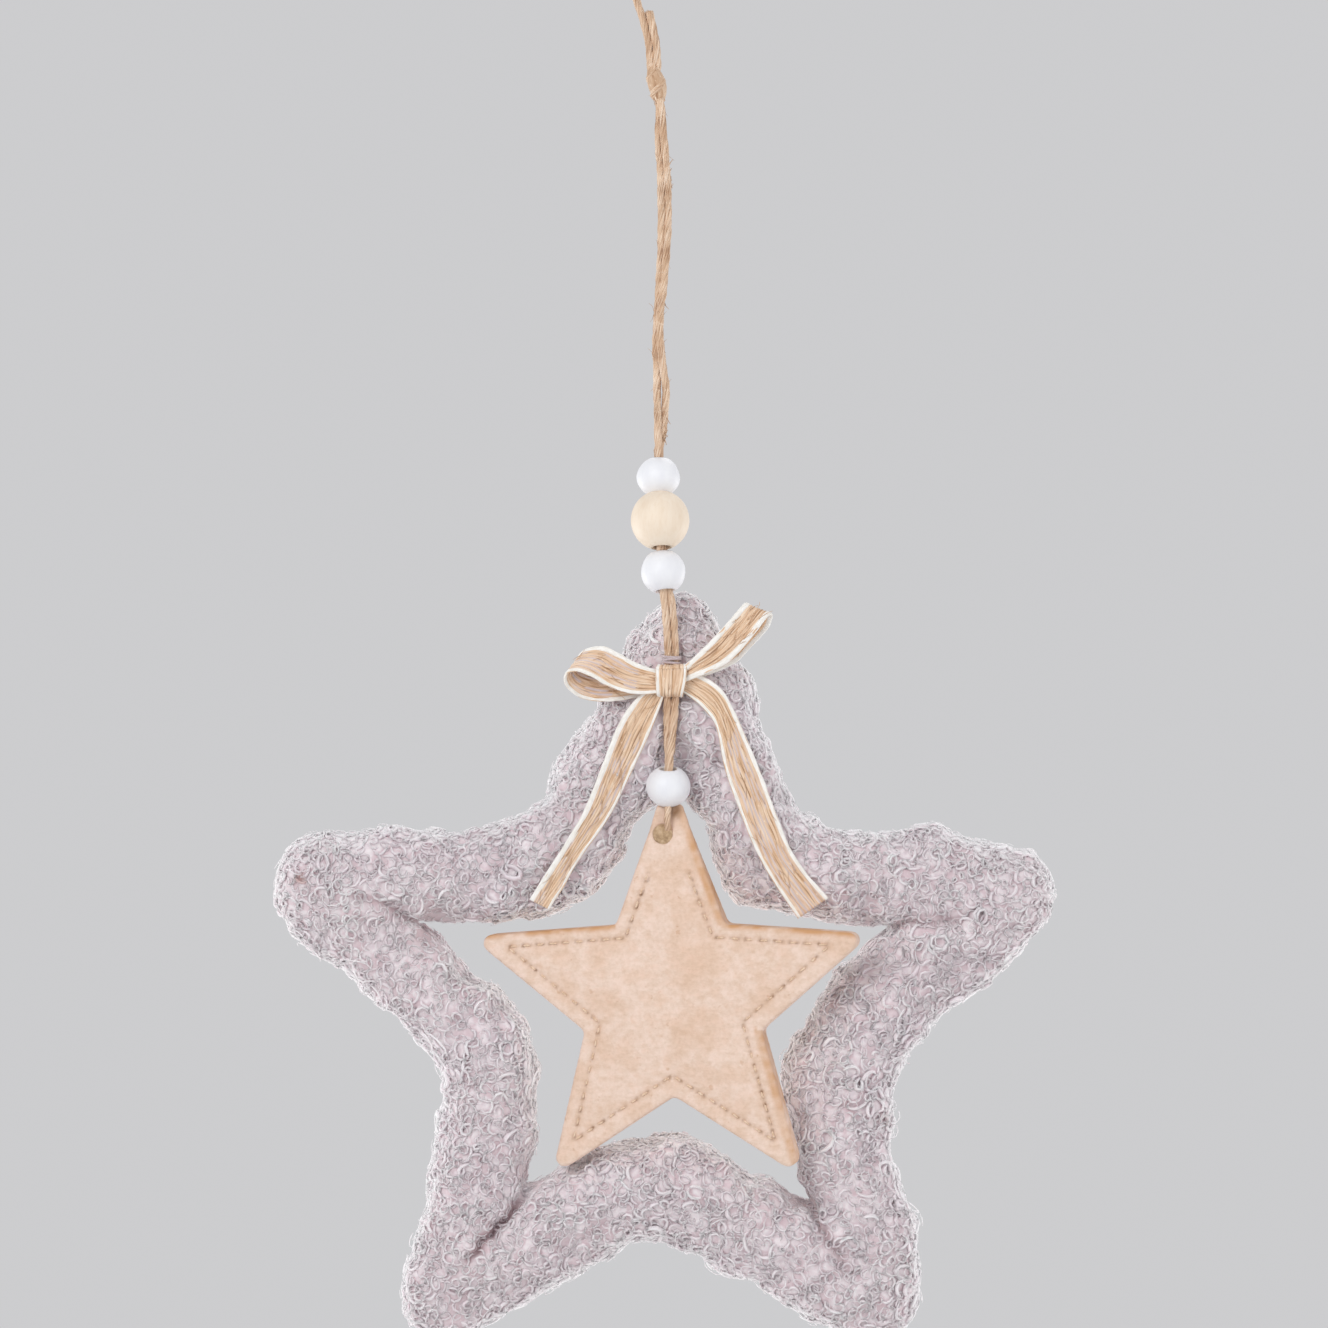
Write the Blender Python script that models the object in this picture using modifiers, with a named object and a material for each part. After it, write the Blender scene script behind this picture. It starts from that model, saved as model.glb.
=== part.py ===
# Hanging star decoration: a stuffed fleece star ring with a padded leather star hung
# inside it, on a doubled jute twine with wooden beads and a ribbon bow.
# Metres, +Z up, +X to the right, +Y away from the viewer. The origin is the point
# where a hook bears under the top of the hanging loop.

import math

import bmesh
import bpy
from mathutils import Matrix, Vector

MM = 0.001

# Clearances
SEAT_GAP = 0.0003           # between pieces that touch
BORE_CLEARANCE = 0.0005     # all round the twine in a bead
STAR_GAP = 0.0006           # from the lowest bead down to the leather star

# Twine
STRAND_DIAMETER = 0.0020    # one strand of jute
TWINE_DIAMETER = 0.0036     # two strands laid together
EYE_STRAND_DIAMETER = 0.0017    # pulled tight through the leather star's eyelet
EYE_START = 0.0017          # how far up the lowest bead's bore its two strands begin
EYE_SPREAD_DROP = 0.0010    # below the bead, where they are clear of the leather
EYE_BEND_HEIGHT = 0.0034    # of the half ring that they make through the eyelet
EYE_SHIFT = 0.0005          # of that half ring to the right of the eyelet's middle
EYE_SAG = 0.0005            # and below it
TWINE_END_GAP = 0.0005      # from the doubled twine's end to those strands

# Beads
WHITE_BEAD_DIAMETER = 0.0121
WHITE_BEAD_HEIGHT = 0.0107
NATURAL_BEAD_DIAMETER = 0.0160
NATURAL_BEAD_HEIGHT = 0.0148
BEAD_LAND = 0.0003          # flat ring round a bore's mouth
BEAD_FLARE = 0.0003         # bevel of a bore's mouth
LOWER_BEAD_FLARE = 0.0009   # wider, where the two strands part below it

# Knots in the twine
UPPER_KNOT_DIAMETER = 0.0056
UPPER_KNOT_HEIGHT = 0.0104
LOOP_KNOT_DIAMETER = 0.0052
LOOP_KNOT_HEIGHT = 0.0058

# Thread that sews the twine to the fleece
TIE_HEIGHT = 0.0025
TIE_WALL = 0.0006
TIE_ROOT_WIDTH = 0.0030
TIE_ROOT_DEPTH = 0.0010     # how far the thread goes into the fleece

# Ribbon and bow
RIBBON_THICKNESS = 0.0008
KNOT_WIDTH = 0.0084
KNOT_HEIGHT = 0.0084
KNOT_FRONT = 0.0044         # from the twine's middle to the knot's front
KNOT_BACK = 0.0026          # and to its back
KNOT_ROUNDING = 0.0014
CHANNEL_REACH = 0.0160      # above and below the knot's middle, of the twine's channel

# Fleece star ring
TUBE_RADIUS = 0.0130
TIP_REACH = 0.0985          # from the ring's middle to the middle of a tip
CORNER_REACH = 0.0445       # to the corner that each valley's bend rounds off
BEND_RADIUS = 0.0320
TIP_RADII = (0.0112, 0.0142, 0.0132, 0.0132, 0.0138)    # top, then anticlockwise
TOP_TIP_LEAN = 0.0045       # the top tip leans to the right
TOP_TIP_RISE = 0.0020       # and stands a little higher than the rest
TAPER_LENGTH = 0.0280       # over which a tube takes the radius of its tip
CREASE_DEPTH = 0.0014       # of the groove behind the bow's knot
RING_TURN = math.radians(-0.7)
FLEECE_VOXEL = 0.0058

# Leather star
LEATHER_TIP_REACH = 0.0592  # to a tip before it is rounded
TIP_SHARES = (1.05, 1.0, 1.0, 1.0, 0.975)       # of that reach: top, then anticlockwise
LEATHER_VALLEY_REACH = 0.0258
LEATHER_TIP_RADIUS = 0.0024
LEATHER_VALLEY_RADIUS = 0.0016
LEATHER_THICKNESS = 0.0075
LEATHER_EDGE_ROUNDING = 0.0024
LEATHER_TURN = math.radians(-11.0)
LEATHER_LEAN = math.radians(1.3)    # of the star's top to the left
NECK_LENGTH = 0.0145        # of the top tip, where the leather is pinched thin
NECK_THICKNESS = 0.0010
TOP_TIP_CUT = 0.0527        # from the star's middle to the blunt end of its top tip
EYELET_DIAMETER = 0.0046
EYELET_REACH = 0.0454       # from the star's middle to the eyelet
EYELET_SHIFT = -0.0019      # sideways from the star's middle line
LEATHER_SHIFT = 0.0016      # of the star's middle line from the lowest bead

# Places along the twine: drops below the hook point, and distances down from a neighbour
UPPER_KNOT_DROP = 0.0564
LOOP_KNOT_DROP = 0.0205
LOOP_KNOT_X = -0.0062
NATURAL_BEAD_DROP = 0.1751
MIDDLE_BEAD_SLIP = 0.0010   # that the middle white bead has slipped down from it
BOW_SPACING = 0.0202        # from the middle white bead's foot to the top of the bow's knot
LOWER_BEAD_SPACING = 0.0190 # from the knot's foot to the lowest bead's head
RING_SPACING = 0.0885       # from the knot's middle to the fleece ring's
RING_X = 0.0027

# Routes chosen by hand, in millimetres: across, and down from the hook point
TWINE_ROUTE = [(-0.3, 51.0), (0.4, 56.4), (1.4, 62.2), (1.7, 70.6), (2.3, 78.8), (2.6, 87.3),
               (2.5, 98.4), (1.8, 109.9), (1.0, 119.2), (0.9, 127.6), (1.4, 133.9), (1.8, 140.2),
               (1.6, 147.5), (1.1, 155.7), (0.9, 162.3), (1.4, 175.1), (2.2, 188.9), (3.1, 194.6),
               (4.0, 201.3), (4.5, 209.2), (4.6, 213.5), (4.4, 218.4), (4.4, 223.1), (4.1, 233.4),
               (3.7, 241.6), (3.6, 247.2), (3.6, 253.0)]
TAIL_ROUTE = [(0.8, 50.5), (0.5, 45.3), (-0.35, 40.6), (-1.44, 36.0)]
HANGER_ROUTE = [(-1.6, 50.5), (-1.9, 45.3), (-2.8, 40.6), (-4.0, 36.2), (-5.3, 32.2),
                (-6.1, 28.0), (-6.2, 23.8)]
LOOP_ROUTE = [(-7.3, 17.1), (-8.6, 12.6), (-8.0, 7.0), (-5.0, 1.6), (0.0, -1.0), (4.2, 1.3),
              (5.2, 6.0), (2.9, 10.6), (-1.4, 13.8), (-4.6, 16.7)]

# The bow's overall width, real and as its strips are drawn below
BOW_WIDTH = 0.0811
DRAWN_BOW_WIDTH = 81.1

# The ribbon's two edges, strip by strip, as drawn from the middle of the bow's knot:
# across, away from the viewer, and up
LEFT_LOOP_EDGES = (
    [(-2.6, -2.6, 2.2), (-7.1, -3.6, 3.8), (-10.6, -4.2, 5.2), (-14.5, -4.6, 7.4),
     (-17.7, -4.4, 9.0), (-21.3, -3.0, 9.0), (-24.0, -0.8, 7.9), (-25.1, 0.4, 6.0),
     (-23.5, 0.8, 4.1), (-19.4, 0.7, 3.5), (-13.9, 0.5, 3.0), (-8.5, 0.3, 1.9), (-2.6, 0.3, 0.8)],
    [(-2.6, -3.2, -3.4), (-8.5, -4.2, -3.7), (-13.1, -5.0, -3.0), (-17.7, -5.8, -1.2),
     (-21.5, -6.4, 1.1), (-25.1, -6.6, 2.5), (-28.1, -6.0, 2.2), (-29.0, -4.8, 0.0),
     (-27.5, -3.0, -2.7), (-24.0, -1.2, -4.9), (-18.5, 0.0, -5.7), (-11.2, 0.3, -5.0),
     (-2.6, 0.3, -3.4)])
RIGHT_LOOP_EDGES = (
    [(2.6, -2.6, 3.0), (8.2, -3.6, 8.0), (11.7, -4.0, 11.6), (15.3, -4.2, 15.5),
     (17.7, -4.0, 18.3), (19.6, -3.0, 20.5), (20.2, -1.8, 20.9), (19.4, -0.6, 20.2),
     (16.9, -0.2, 17.2), (12.3, 0.0, 12.0), (8.5, 0.1, 7.9), (2.6, 0.3, 2.6)],
    [(2.6, -2.8, -0.6), (12.3, -3.6, 3.4), (16.6, -4.2, 6.3), (20.2, -4.4, 10.1),
     (23.2, -4.2, 13.6), (26.2, -3.2, 16.8), (27.8, -1.8, 16.6), (26.5, -0.7, 13.6),
     (22.9, -0.2, 9.0), (19.4, 0.0, 4.9), (13.9, 0.1, 2.7), (2.6, 0.3, -1.0)])
LEFT_TAIL_EDGES = (
    [(-2.8, -1.6, 0.6), (-10.4, -2.2, -6.3), (-14.9, -3.0, -13.9), (-18.8, -3.4, -24.0),
     (-23.7, -3.4, -36.0), (-30.0, -3.2, -46.6), (-34.4, -2.9, -53.4), (-38.2, -2.6, -59.7)],
    [(-0.9, -1.4, -0.6), (-2.8, -0.6, -6.8), (-6.3, -0.4, -15.3), (-10.9, -0.4, -25.1),
     (-16.9, -0.5, -37.1), (-24.8, -0.6, -48.3), (-29.2, -0.6, -55.9), (-33.3, -0.6, -62.4)])
RIGHT_TAIL_EDGES = (
    [(1.6, -1.0, -2.4), (5.2, -0.9, -4.5), (9.3, -1.0, -8.2), (12.4, -1.0, -13.1),
     (14.7, -0.8, -24.4), (19.6, -0.8, -37.9), (23.2, -0.8, -46.6), (27.8, -0.8, -54.8),
     (34.6, -0.8, -64.9)],
    [(1.6, -1.0, 2.4), (7.0, -1.2, 1.8), (13.4, -1.2, -2.2), (17.7, -1.0, -9.5),
     (23.7, -0.6, -23.5), (29.2, -0.6, -37.9), (32.3, -0.6, -45.5), (36.8, -0.8, -52.4),
     (42.8, -1.2, -59.2)])

# Facets
TUBE_RESOLUTION = 2
FLEECE_TUBE_RESOLUTION = 6
ROUTE_STEP = 0.0060         # between the points of the doubled twine's tube
STRAND_STEP = 0.0040        # of a single strand's
LOOP_STEP = 0.0022
EYE_STEP = 0.0011
RING_STEP = 0.0100
BEND_STEPS = 8
EYE_BEND_STEPS = 8
BEAD_STEPS = 20
BEAD_RINGS = 9
KNOT_STEPS = 12
TIE_STEPS = 14
ARC_STEPS = 4
STRIP_STEPS = 2

TIP_COUNT = 5
POINT_TURN = 2 * math.pi / TIP_COUNT


def clear_scene():
    for obj in list(bpy.data.objects):
        bpy.data.objects.remove(obj, do_unlink=True)


def new_collection(name):
    collection = bpy.data.collections.new(name)
    bpy.context.scene.collection.children.link(collection)
    return collection


def new_material(name, colour, roughness):
    material = bpy.data.materials.new(name)
    material.use_nodes = True
    shader = material.node_tree.nodes["Principled BSDF"]
    shader.inputs["Base Color"].default_value = (*colour, 1.0)
    shader.inputs["Roughness"].default_value = roughness
    shader.inputs["Metallic"].default_value = 0.0
    return material


def add_object(name, data, collection, material=None):
    obj = bpy.data.objects.new(name, data)
    collection.objects.link(obj)
    if material:
        data.materials.append(material)
    return obj


def mark_cutter(obj):
    obj.hide_render = True
    obj.display_type = "WIRE"
    return obj


def front_point(across_mm, drop_mm):
    return Vector((across_mm * MM, 0.0, -drop_mm * MM))


def smooth_curve(points, spans):
    # A Catmull-Rom curve through every point
    curve = []
    last = len(points) - 1
    for i in range(last):
        a = points[max(i - 1, 0)]
        b = points[i]
        c = points[i + 1]
        d = points[min(i + 2, last)]
        for step in range(spans):
            t = step / spans
            curve.append(0.5 * (2 * b + (c - a) * t + (2 * a - 5 * b + 4 * c - d) * t * t
                                + (3 * b - a - 3 * c + d) * t ** 3))
    curve.append(points[last].copy())
    return curve


def even_points(curve, step):
    # The same curve with its points an even distance apart
    lengths = [0.0]
    for a, b in zip(curve, curve[1:]):
        lengths.append(lengths[-1] + (b - a).length)
    count = max(2, round(lengths[-1] / step))
    points = []
    k = 0
    for i in range(count + 1):
        wanted = lengths[-1] * i / count
        while k < len(curve) - 2 and lengths[k + 1] < wanted:
            k += 1
        share = (wanted - lengths[k]) / max(lengths[k + 1] - lengths[k], 1e-9)
        points.append(curve[k].lerp(curve[k + 1], min(share, 1.0)))
    return points


def tube_curve(name, points, diameter, resolution, collection, material=None, radii=None):
    data = bpy.data.curves.new(name, "CURVE")
    data.dimensions = "3D"
    data.bevel_depth = diameter / 2
    data.bevel_resolution = resolution
    data.use_fill_caps = True
    spline = data.splines.new("POLY")
    spline.points.add(len(points) - 1)
    for i, point in enumerate(points):
        spline.points[i].co = (*point, 1.0)
        if radii:
            spline.points[i].radius = radii[i] / (diameter / 2)
    return add_object(name, data, collection, material)


def made_mesh(obj):
    # The object as a plain mesh in world space, with a curve's caps welded on
    graph = bpy.context.evaluated_depsgraph_get()
    mesh = bpy.data.meshes.new_from_object(obj.evaluated_get(graph))
    mesh.transform(obj.matrix_world)
    shape = bmesh.new()
    shape.from_mesh(mesh)
    bmesh.ops.remove_doubles(shape, verts=shape.verts, dist=1e-6)
    bmesh.ops.recalc_face_normals(shape, faces=shape.faces)
    shape.to_mesh(mesh)
    shape.free()
    name = obj.name
    collection = obj.users_collection[0]
    bpy.data.objects.remove(obj, do_unlink=True)
    made = bpy.data.objects.new(name, mesh)
    collection.objects.link(made)
    return made


def combine(obj, other, operation):
    modifier = obj.modifiers.new(operation.title(), "BOOLEAN")
    modifier.operation = operation
    modifier.solver = "EXACT"
    modifier.object = other
    return modifier


def smooth_shading(mesh, degrees=35.0):
    mesh.shade_smooth()
    mesh.set_sharp_from_angle(angle=math.radians(degrees))


def turned(name, profile, steps, collection, material):
    # A closed profile of (radius, height) points turned about Z
    mesh = bpy.data.meshes.new(name)
    shape = bmesh.new()
    verts = [shape.verts.new((radius, 0.0, height)) for radius, height in profile]
    for i, vert in enumerate(verts):
        shape.edges.new((vert, verts[(i + 1) % len(verts)]))
    shape.to_mesh(mesh)
    shape.free()
    obj = add_object(name, mesh, collection, material)
    screw = obj.modifiers.new("Turn", "SCREW")
    screw.axis = "Z"
    screw.steps = steps
    screw.render_steps = steps
    screw.use_merge_vertices = True
    screw.merge_threshold = 1e-5
    return obj


class Twine:
    # The doubled twine's middle line, read by drop below the hook point
    def __init__(self):
        self.curve = smooth_curve([front_point(*p) for p in TWINE_ROUTE], 12)

    def at(self, drop):
        for a, b in zip(self.curve, self.curve[1:]):
            if -b.z >= drop:
                break
        return a.lerp(b, (drop + a.z) / (a.z - b.z))

    def frame_at(self, drop, reach=0.003):
        # A matrix at this drop whose Z runs up the twine
        up = (self.at(drop - reach) - self.at(drop + reach)).normalized()
        side = Vector((0.0, 1.0, 0.0)).cross(up).normalized()
        turn = Matrix((side, up.cross(side), up)).transposed().to_4x4()
        return Matrix.Translation(self.at(drop)) @ turn

    def stretch(self, top_drop, low_drop):
        inner = [p for p in self.curve if top_drop < -p.z < low_drop]
        return even_points([self.at(top_drop)] + inner + [self.at(low_drop)], ROUTE_STEP)


def middle_bead_drop():
    return NATURAL_BEAD_DROP + (NATURAL_BEAD_HEIGHT + WHITE_BEAD_HEIGHT) / 2 + MIDDLE_BEAD_SLIP


def bow_drop():
    return middle_bead_drop() + WHITE_BEAD_HEIGHT / 2 + BOW_SPACING + KNOT_HEIGHT / 2


def lower_bead_drop():
    return bow_drop() + KNOT_HEIGHT / 2 + LOWER_BEAD_SPACING + WHITE_BEAD_HEIGHT / 2


def bead_foot_drop():
    return lower_bead_drop() + WHITE_BEAD_HEIGHT / 2


def bead_profile(diameter, height, flare):
    # From the bore's top mouth down the round outside and back up the bore
    bore = TWINE_DIAMETER / 2 + BORE_CLEARANCE
    flat = bore + flare + BEAD_LAND
    half = height / 2
    start = math.acos(min(1.0, flat / (diameter / 2)))
    profile = []
    for i in range(BEAD_RINGS + 1):
        angle = start * (1 - 2 * i / BEAD_RINGS)
        profile.append((diameter / 2 * math.cos(angle), half * math.sin(angle) / math.sin(start)))
    profile.append((bore + flare, -half))
    profile.append((bore, -half + flare))
    profile.append((bore, half - flare))
    profile.append((bore + flare, half))
    return profile


def bead(name, diameter, height, drop, twine, collection, material, flare=BEAD_FLARE):
    obj = turned(name, bead_profile(diameter, height, flare), BEAD_STEPS, collection, material)
    smooth_shading(obj.data)
    obj.matrix_world = twine.frame_at(drop)
    return obj


def knot_profile(diameter, height):
    # Three soft wraps between two flat ends, as shares of the radius and the height
    shares = [(0.0, 0.5), (0.74, 0.5), (0.86, 0.40), (0.90, 0.26), (0.82, 0.18), (1.0, 0.06),
              (0.96, -0.08), (0.84, -0.17), (0.92, -0.28), (0.84, -0.41), (0.66, -0.5), (0.0, -0.5)]
    return [(diameter / 2 * across, height * up) for across, up in shares]


def twine_knot(name, diameter, height, place, collection, material):
    obj = turned(name, knot_profile(diameter, height), KNOT_STEPS, collection, material)
    made = made_mesh(obj)
    made.data.materials.clear()
    made.data.materials.append(material)
    smooth_shading(made.data, 50.0)
    made.matrix_world = place
    return made


def ring_tips():
    # The middles of the ring's five tips, seen from the front, top first
    tips = []
    for i in range(TIP_COUNT):
        angle = math.pi / 2 + i * POINT_TURN + RING_TURN
        tips.append(TIP_REACH * Vector((math.cos(angle), math.sin(angle))))
    tips[0] += Vector((TOP_TIP_LEAN, TOP_TIP_RISE))
    return tips


def ring_corners():
    corners = []
    for i in range(TIP_COUNT):
        angle = math.pi / 2 + (i + 0.5) * POINT_TURN + RING_TURN
        corners.append(CORNER_REACH * Vector((math.cos(angle), math.sin(angle))))
    return corners


def bent_path(start, corner, end, radius, steps):
    # Two straight runs joined by an arc that rounds the corner
    back = (start - corner).normalized()
    ahead = (end - corner).normalized()
    half = back.angle(ahead) / 2
    along = radius / math.tan(half)
    centre = corner + (back + ahead).normalized() * radius / math.sin(half)
    arc_start = corner + back * along - centre
    arc_end = corner + ahead * along - centre
    sweep = arc_start.angle_signed(arc_end)
    points = [start]
    for i in range(steps + 1):
        turned_point = arc_start.copy()
        turned_point.rotate(Matrix.Rotation(-sweep * i / steps, 2))
        points.append(centre + turned_point)
    points.append(end)
    return points


def fleece_plane():
    # Where the ring's middle plane lies behind the twine
    return KNOT_BACK + SEAT_GAP + TUBE_RADIUS - CREASE_DEPTH


def ring_tube(index, tips, corners, centre, collection):
    nxt = (index + 1) % TIP_COUNT
    flat = bent_path(tips[index], corners[index], tips[nxt], BEND_RADIUS, BEND_STEPS)
    points = even_points([centre + Vector((p.x, 0.0, p.y)) for p in flat], RING_STEP)
    radii = []
    for point in points:
        radius = TUBE_RADIUS
        for end, tip_radius in ((points[0], TIP_RADII[index]), (points[-1], TIP_RADII[nxt])):
            share = max(0.0, 1 - (point - end).length / TAPER_LENGTH)
            radius += (tip_radius - TUBE_RADIUS) * share * share * (3 - 2 * share)
        radii.append(radius)
    name = f"ring_tube_{index}"
    tube = tube_curve(name, points, 2 * TUBE_RADIUS, FLEECE_TUBE_RESOLUTION, collection, None, radii)
    return made_mesh(tube)


def fleece_star(collection, cutters, material, twine):
    centre = Vector((RING_X, fleece_plane(), -(bow_drop() + RING_SPACING)))
    tips = ring_tips()
    corners = ring_corners()
    mesh = bpy.data.meshes.new("fleece_star_frame")
    shape = bmesh.new()
    for i in range(TIP_COUNT):
        tube = ring_tube(i, tips, corners, centre, cutters)
        shape.from_mesh(tube.data)
        bpy.data.objects.remove(tube, do_unlink=True)
        place = Matrix.Translation(centre + Vector((tips[i].x, 0.0, tips[i].y)))
        bmesh.ops.create_uvsphere(shape, u_segments=20, v_segments=12, radius=TIP_RADII[i],
                                  matrix=place)
    shape.to_mesh(mesh)
    shape.free()
    obj = add_object("fleece_star_frame", mesh, collection, material)
    remesh = obj.modifiers.new("Soft skin", "REMESH")
    remesh.mode = "VOXEL"
    remesh.voxel_size = FLEECE_VOXEL
    remesh.use_smooth_shade = True
    combine(obj, tie_root("fleece_seat", SEAT_GAP, cutters, twine), "DIFFERENCE")
    return obj


def tie_drop():
    return bow_drop() - KNOT_HEIGHT / 2 - SEAT_GAP - TIE_HEIGHT / 2


def block(name, low, high, place, collection, material=None):
    mesh = bpy.data.meshes.new(name)
    shape = bmesh.new()
    bmesh.ops.create_cube(shape, size=1.0)
    size = Vector(high) - Vector(low)
    middle = (Vector(high) + Vector(low)) / 2
    bmesh.ops.scale(shape, verts=shape.verts, vec=size)
    bmesh.ops.translate(shape, verts=shape.verts, vec=middle)
    shape.to_mesh(mesh)
    shape.free()
    obj = add_object(name, mesh, collection, material)
    obj.matrix_world = place
    return obj


def tie_root(name, grow, cutters, twine):
    # The stitch that goes from the twine into the fleece, grown for its seat
    front = fleece_plane() - TIP_RADII[0]
    width = TIE_ROOT_WIDTH / 2 + grow
    height = TIE_HEIGHT / 2 - TIE_WALL / 2 + grow
    low = (-width, TWINE_DIAMETER / 2, -height)
    high = (width, front + TIE_ROOT_DEPTH + grow, height)
    return mark_cutter(block(name, low, high, twine.frame_at(tie_drop()), cutters))


def thread_tie(collection, cutters, material, twine):
    inner = TWINE_DIAMETER / 2 + SEAT_GAP
    outer = inner + TIE_WALL
    half = TIE_HEIGHT / 2
    edge = TIE_WALL / 2
    profile = [(outer - edge, half), (outer, half - edge), (outer - edge / 2, 0.0),
               (outer, edge - half), (outer - edge, -half), (inner, -half), (inner, half)]
    ring = turned("thread_tie", profile, TIE_STEPS, collection, material)
    ring.matrix_world = twine.frame_at(tie_drop())
    combine(ring, tie_root("tie_stitch", 0.0, cutters, twine), "UNION")
    combine(ring, twine_channel("tie_channel", cutters, twine), "DIFFERENCE")
    return ring


def twine_channel(name, cutters, twine):
    # The room that the doubled twine needs in what wraps round it
    points = twine.stretch(bow_drop() - CHANNEL_REACH, bow_drop() + CHANNEL_REACH)
    channel = tube_curve(name, points, TWINE_DIAMETER + 2 * SEAT_GAP, TUBE_RESOLUTION + 1, cutters)
    return mark_cutter(made_mesh(channel))


def strip(name, edges, knot_place, collection):
    # A length of ribbon between its two edges, as a closed shell
    scale = BOW_WIDTH / DRAWN_BOW_WIDTH
    first = smooth_curve([Vector(p) * scale for p in edges[0]], STRIP_STEPS)
    second = smooth_curve([Vector(p) * scale for p in edges[1]], STRIP_STEPS)
    count = max(len(first), len(second)) - 1
    rails = []
    mesh = bpy.data.meshes.new(name)
    shape = bmesh.new()
    for rail in (first, second):
        length = sum((b - a).length for a, b in zip(rail, rail[1:]))
        points = even_points(rail, length / count)
        verts = [shape.verts.new(p) for p in points]
        rails.append([shape.edges.new(pair) for pair in zip(verts, verts[1:])])
    bmesh.ops.bridge_loops(shape, edges=rails[0] + rails[1])
    bmesh.ops.recalc_face_normals(shape, faces=shape.faces)
    bmesh.ops.triangulate(shape, faces=shape.faces)
    shape.to_mesh(mesh)
    shape.free()
    obj = add_object(name, mesh, collection)
    obj.location = knot_place
    solid = obj.modifiers.new("Ribbon", "SOLIDIFY")
    solid.thickness = RIBBON_THICKNESS
    solid.offset = 0.0
    solid.use_even_offset = True
    return mark_cutter(obj)


def ribbon_bow(collection, cutters, material, twine):
    middle = twine.at(bow_drop())
    half = KNOT_WIDTH / 2
    low = (-half, -KNOT_FRONT, -KNOT_HEIGHT / 2)
    high = (half, KNOT_BACK, KNOT_HEIGHT / 2)
    bow = block("ribbon_bow", low, high, Matrix.Translation(middle), collection, material)
    rounding = bow.modifiers.new("Soft edges", "BEVEL")
    rounding.width = KNOT_ROUNDING
    rounding.segments = 2
    strips = (("left_loop", LEFT_LOOP_EDGES), ("right_loop", RIGHT_LOOP_EDGES),
              ("left_tail", LEFT_TAIL_EDGES), ("right_tail", RIGHT_TAIL_EDGES))
    for name, edges in strips:
        combine(bow, strip(name, edges, middle, cutters), "UNION")
    combine(bow, twine_channel("bow_channel", cutters, twine), "DIFFERENCE")
    return bow


def rounded_corner(before, corner, after, radius, steps):
    back = (before - corner).normalized()
    ahead = (after - corner).normalized()
    half = back.angle(ahead) / 2
    start = corner + back * radius / math.tan(half)
    end = corner + ahead * radius / math.tan(half)
    return bent_path(start, corner, end, radius, steps)[1:-1]


def leather_outline():
    # Points of the star's outline from the front, with its top tip cut blunt
    corners = []
    for i in range(TIP_COUNT):
        tip = math.pi / 2 + i * POINT_TURN
        valley = tip + POINT_TURN / 2
        reach = LEATHER_TIP_REACH * TIP_SHARES[i]
        corners.append((reach * Vector((math.cos(tip), math.sin(tip))), True))
        corners.append((LEATHER_VALLEY_REACH * Vector((math.cos(valley), math.sin(valley))), False))
    outline = []
    for i, (corner, is_tip) in enumerate(corners):
        before = corners[i - 1][0]
        after = corners[(i + 1) % len(corners)][0]
        if i == 0:
            for side in (before, after):
                share = (corner.y - TOP_TIP_CUT) / (corner.y - side.y)
                outline.append(corner.lerp(side, share))
        else:
            radius = LEATHER_TIP_RADIUS if is_tip else LEATHER_VALLEY_RADIUS
            outline.extend(rounded_corner(before, corner, after, radius, ARC_STEPS))
    return outline


def leather_place(twine):
    # The star hangs just under the lowest bead, turned a little about the twine and leaning
    middle = twine.at(lower_bead_drop()) + Vector((LEATHER_SHIFT, 0.0, 0.0))
    middle.z = -(bead_foot_drop() + STAR_GAP + TOP_TIP_CUT)
    turn = Matrix.Rotation(LEATHER_TURN, 4, "Z") @ Matrix.Rotation(-LEATHER_LEAN, 4, "Y")
    eyelet = turn @ Vector((EYELET_SHIFT, 0.0, EYELET_REACH))
    middle.y = -eyelet.y
    return Matrix.Translation(middle) @ turn


def neck_half_thickness(height):
    # Half the leather's thickness at a height above the star's middle
    share = (height - (TOP_TIP_CUT - NECK_LENGTH)) / NECK_LENGTH
    share = min(1.0, max(0.0, share))
    return (LEATHER_THICKNESS + (NECK_THICKNESS - LEATHER_THICKNESS) * share) / 2


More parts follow.
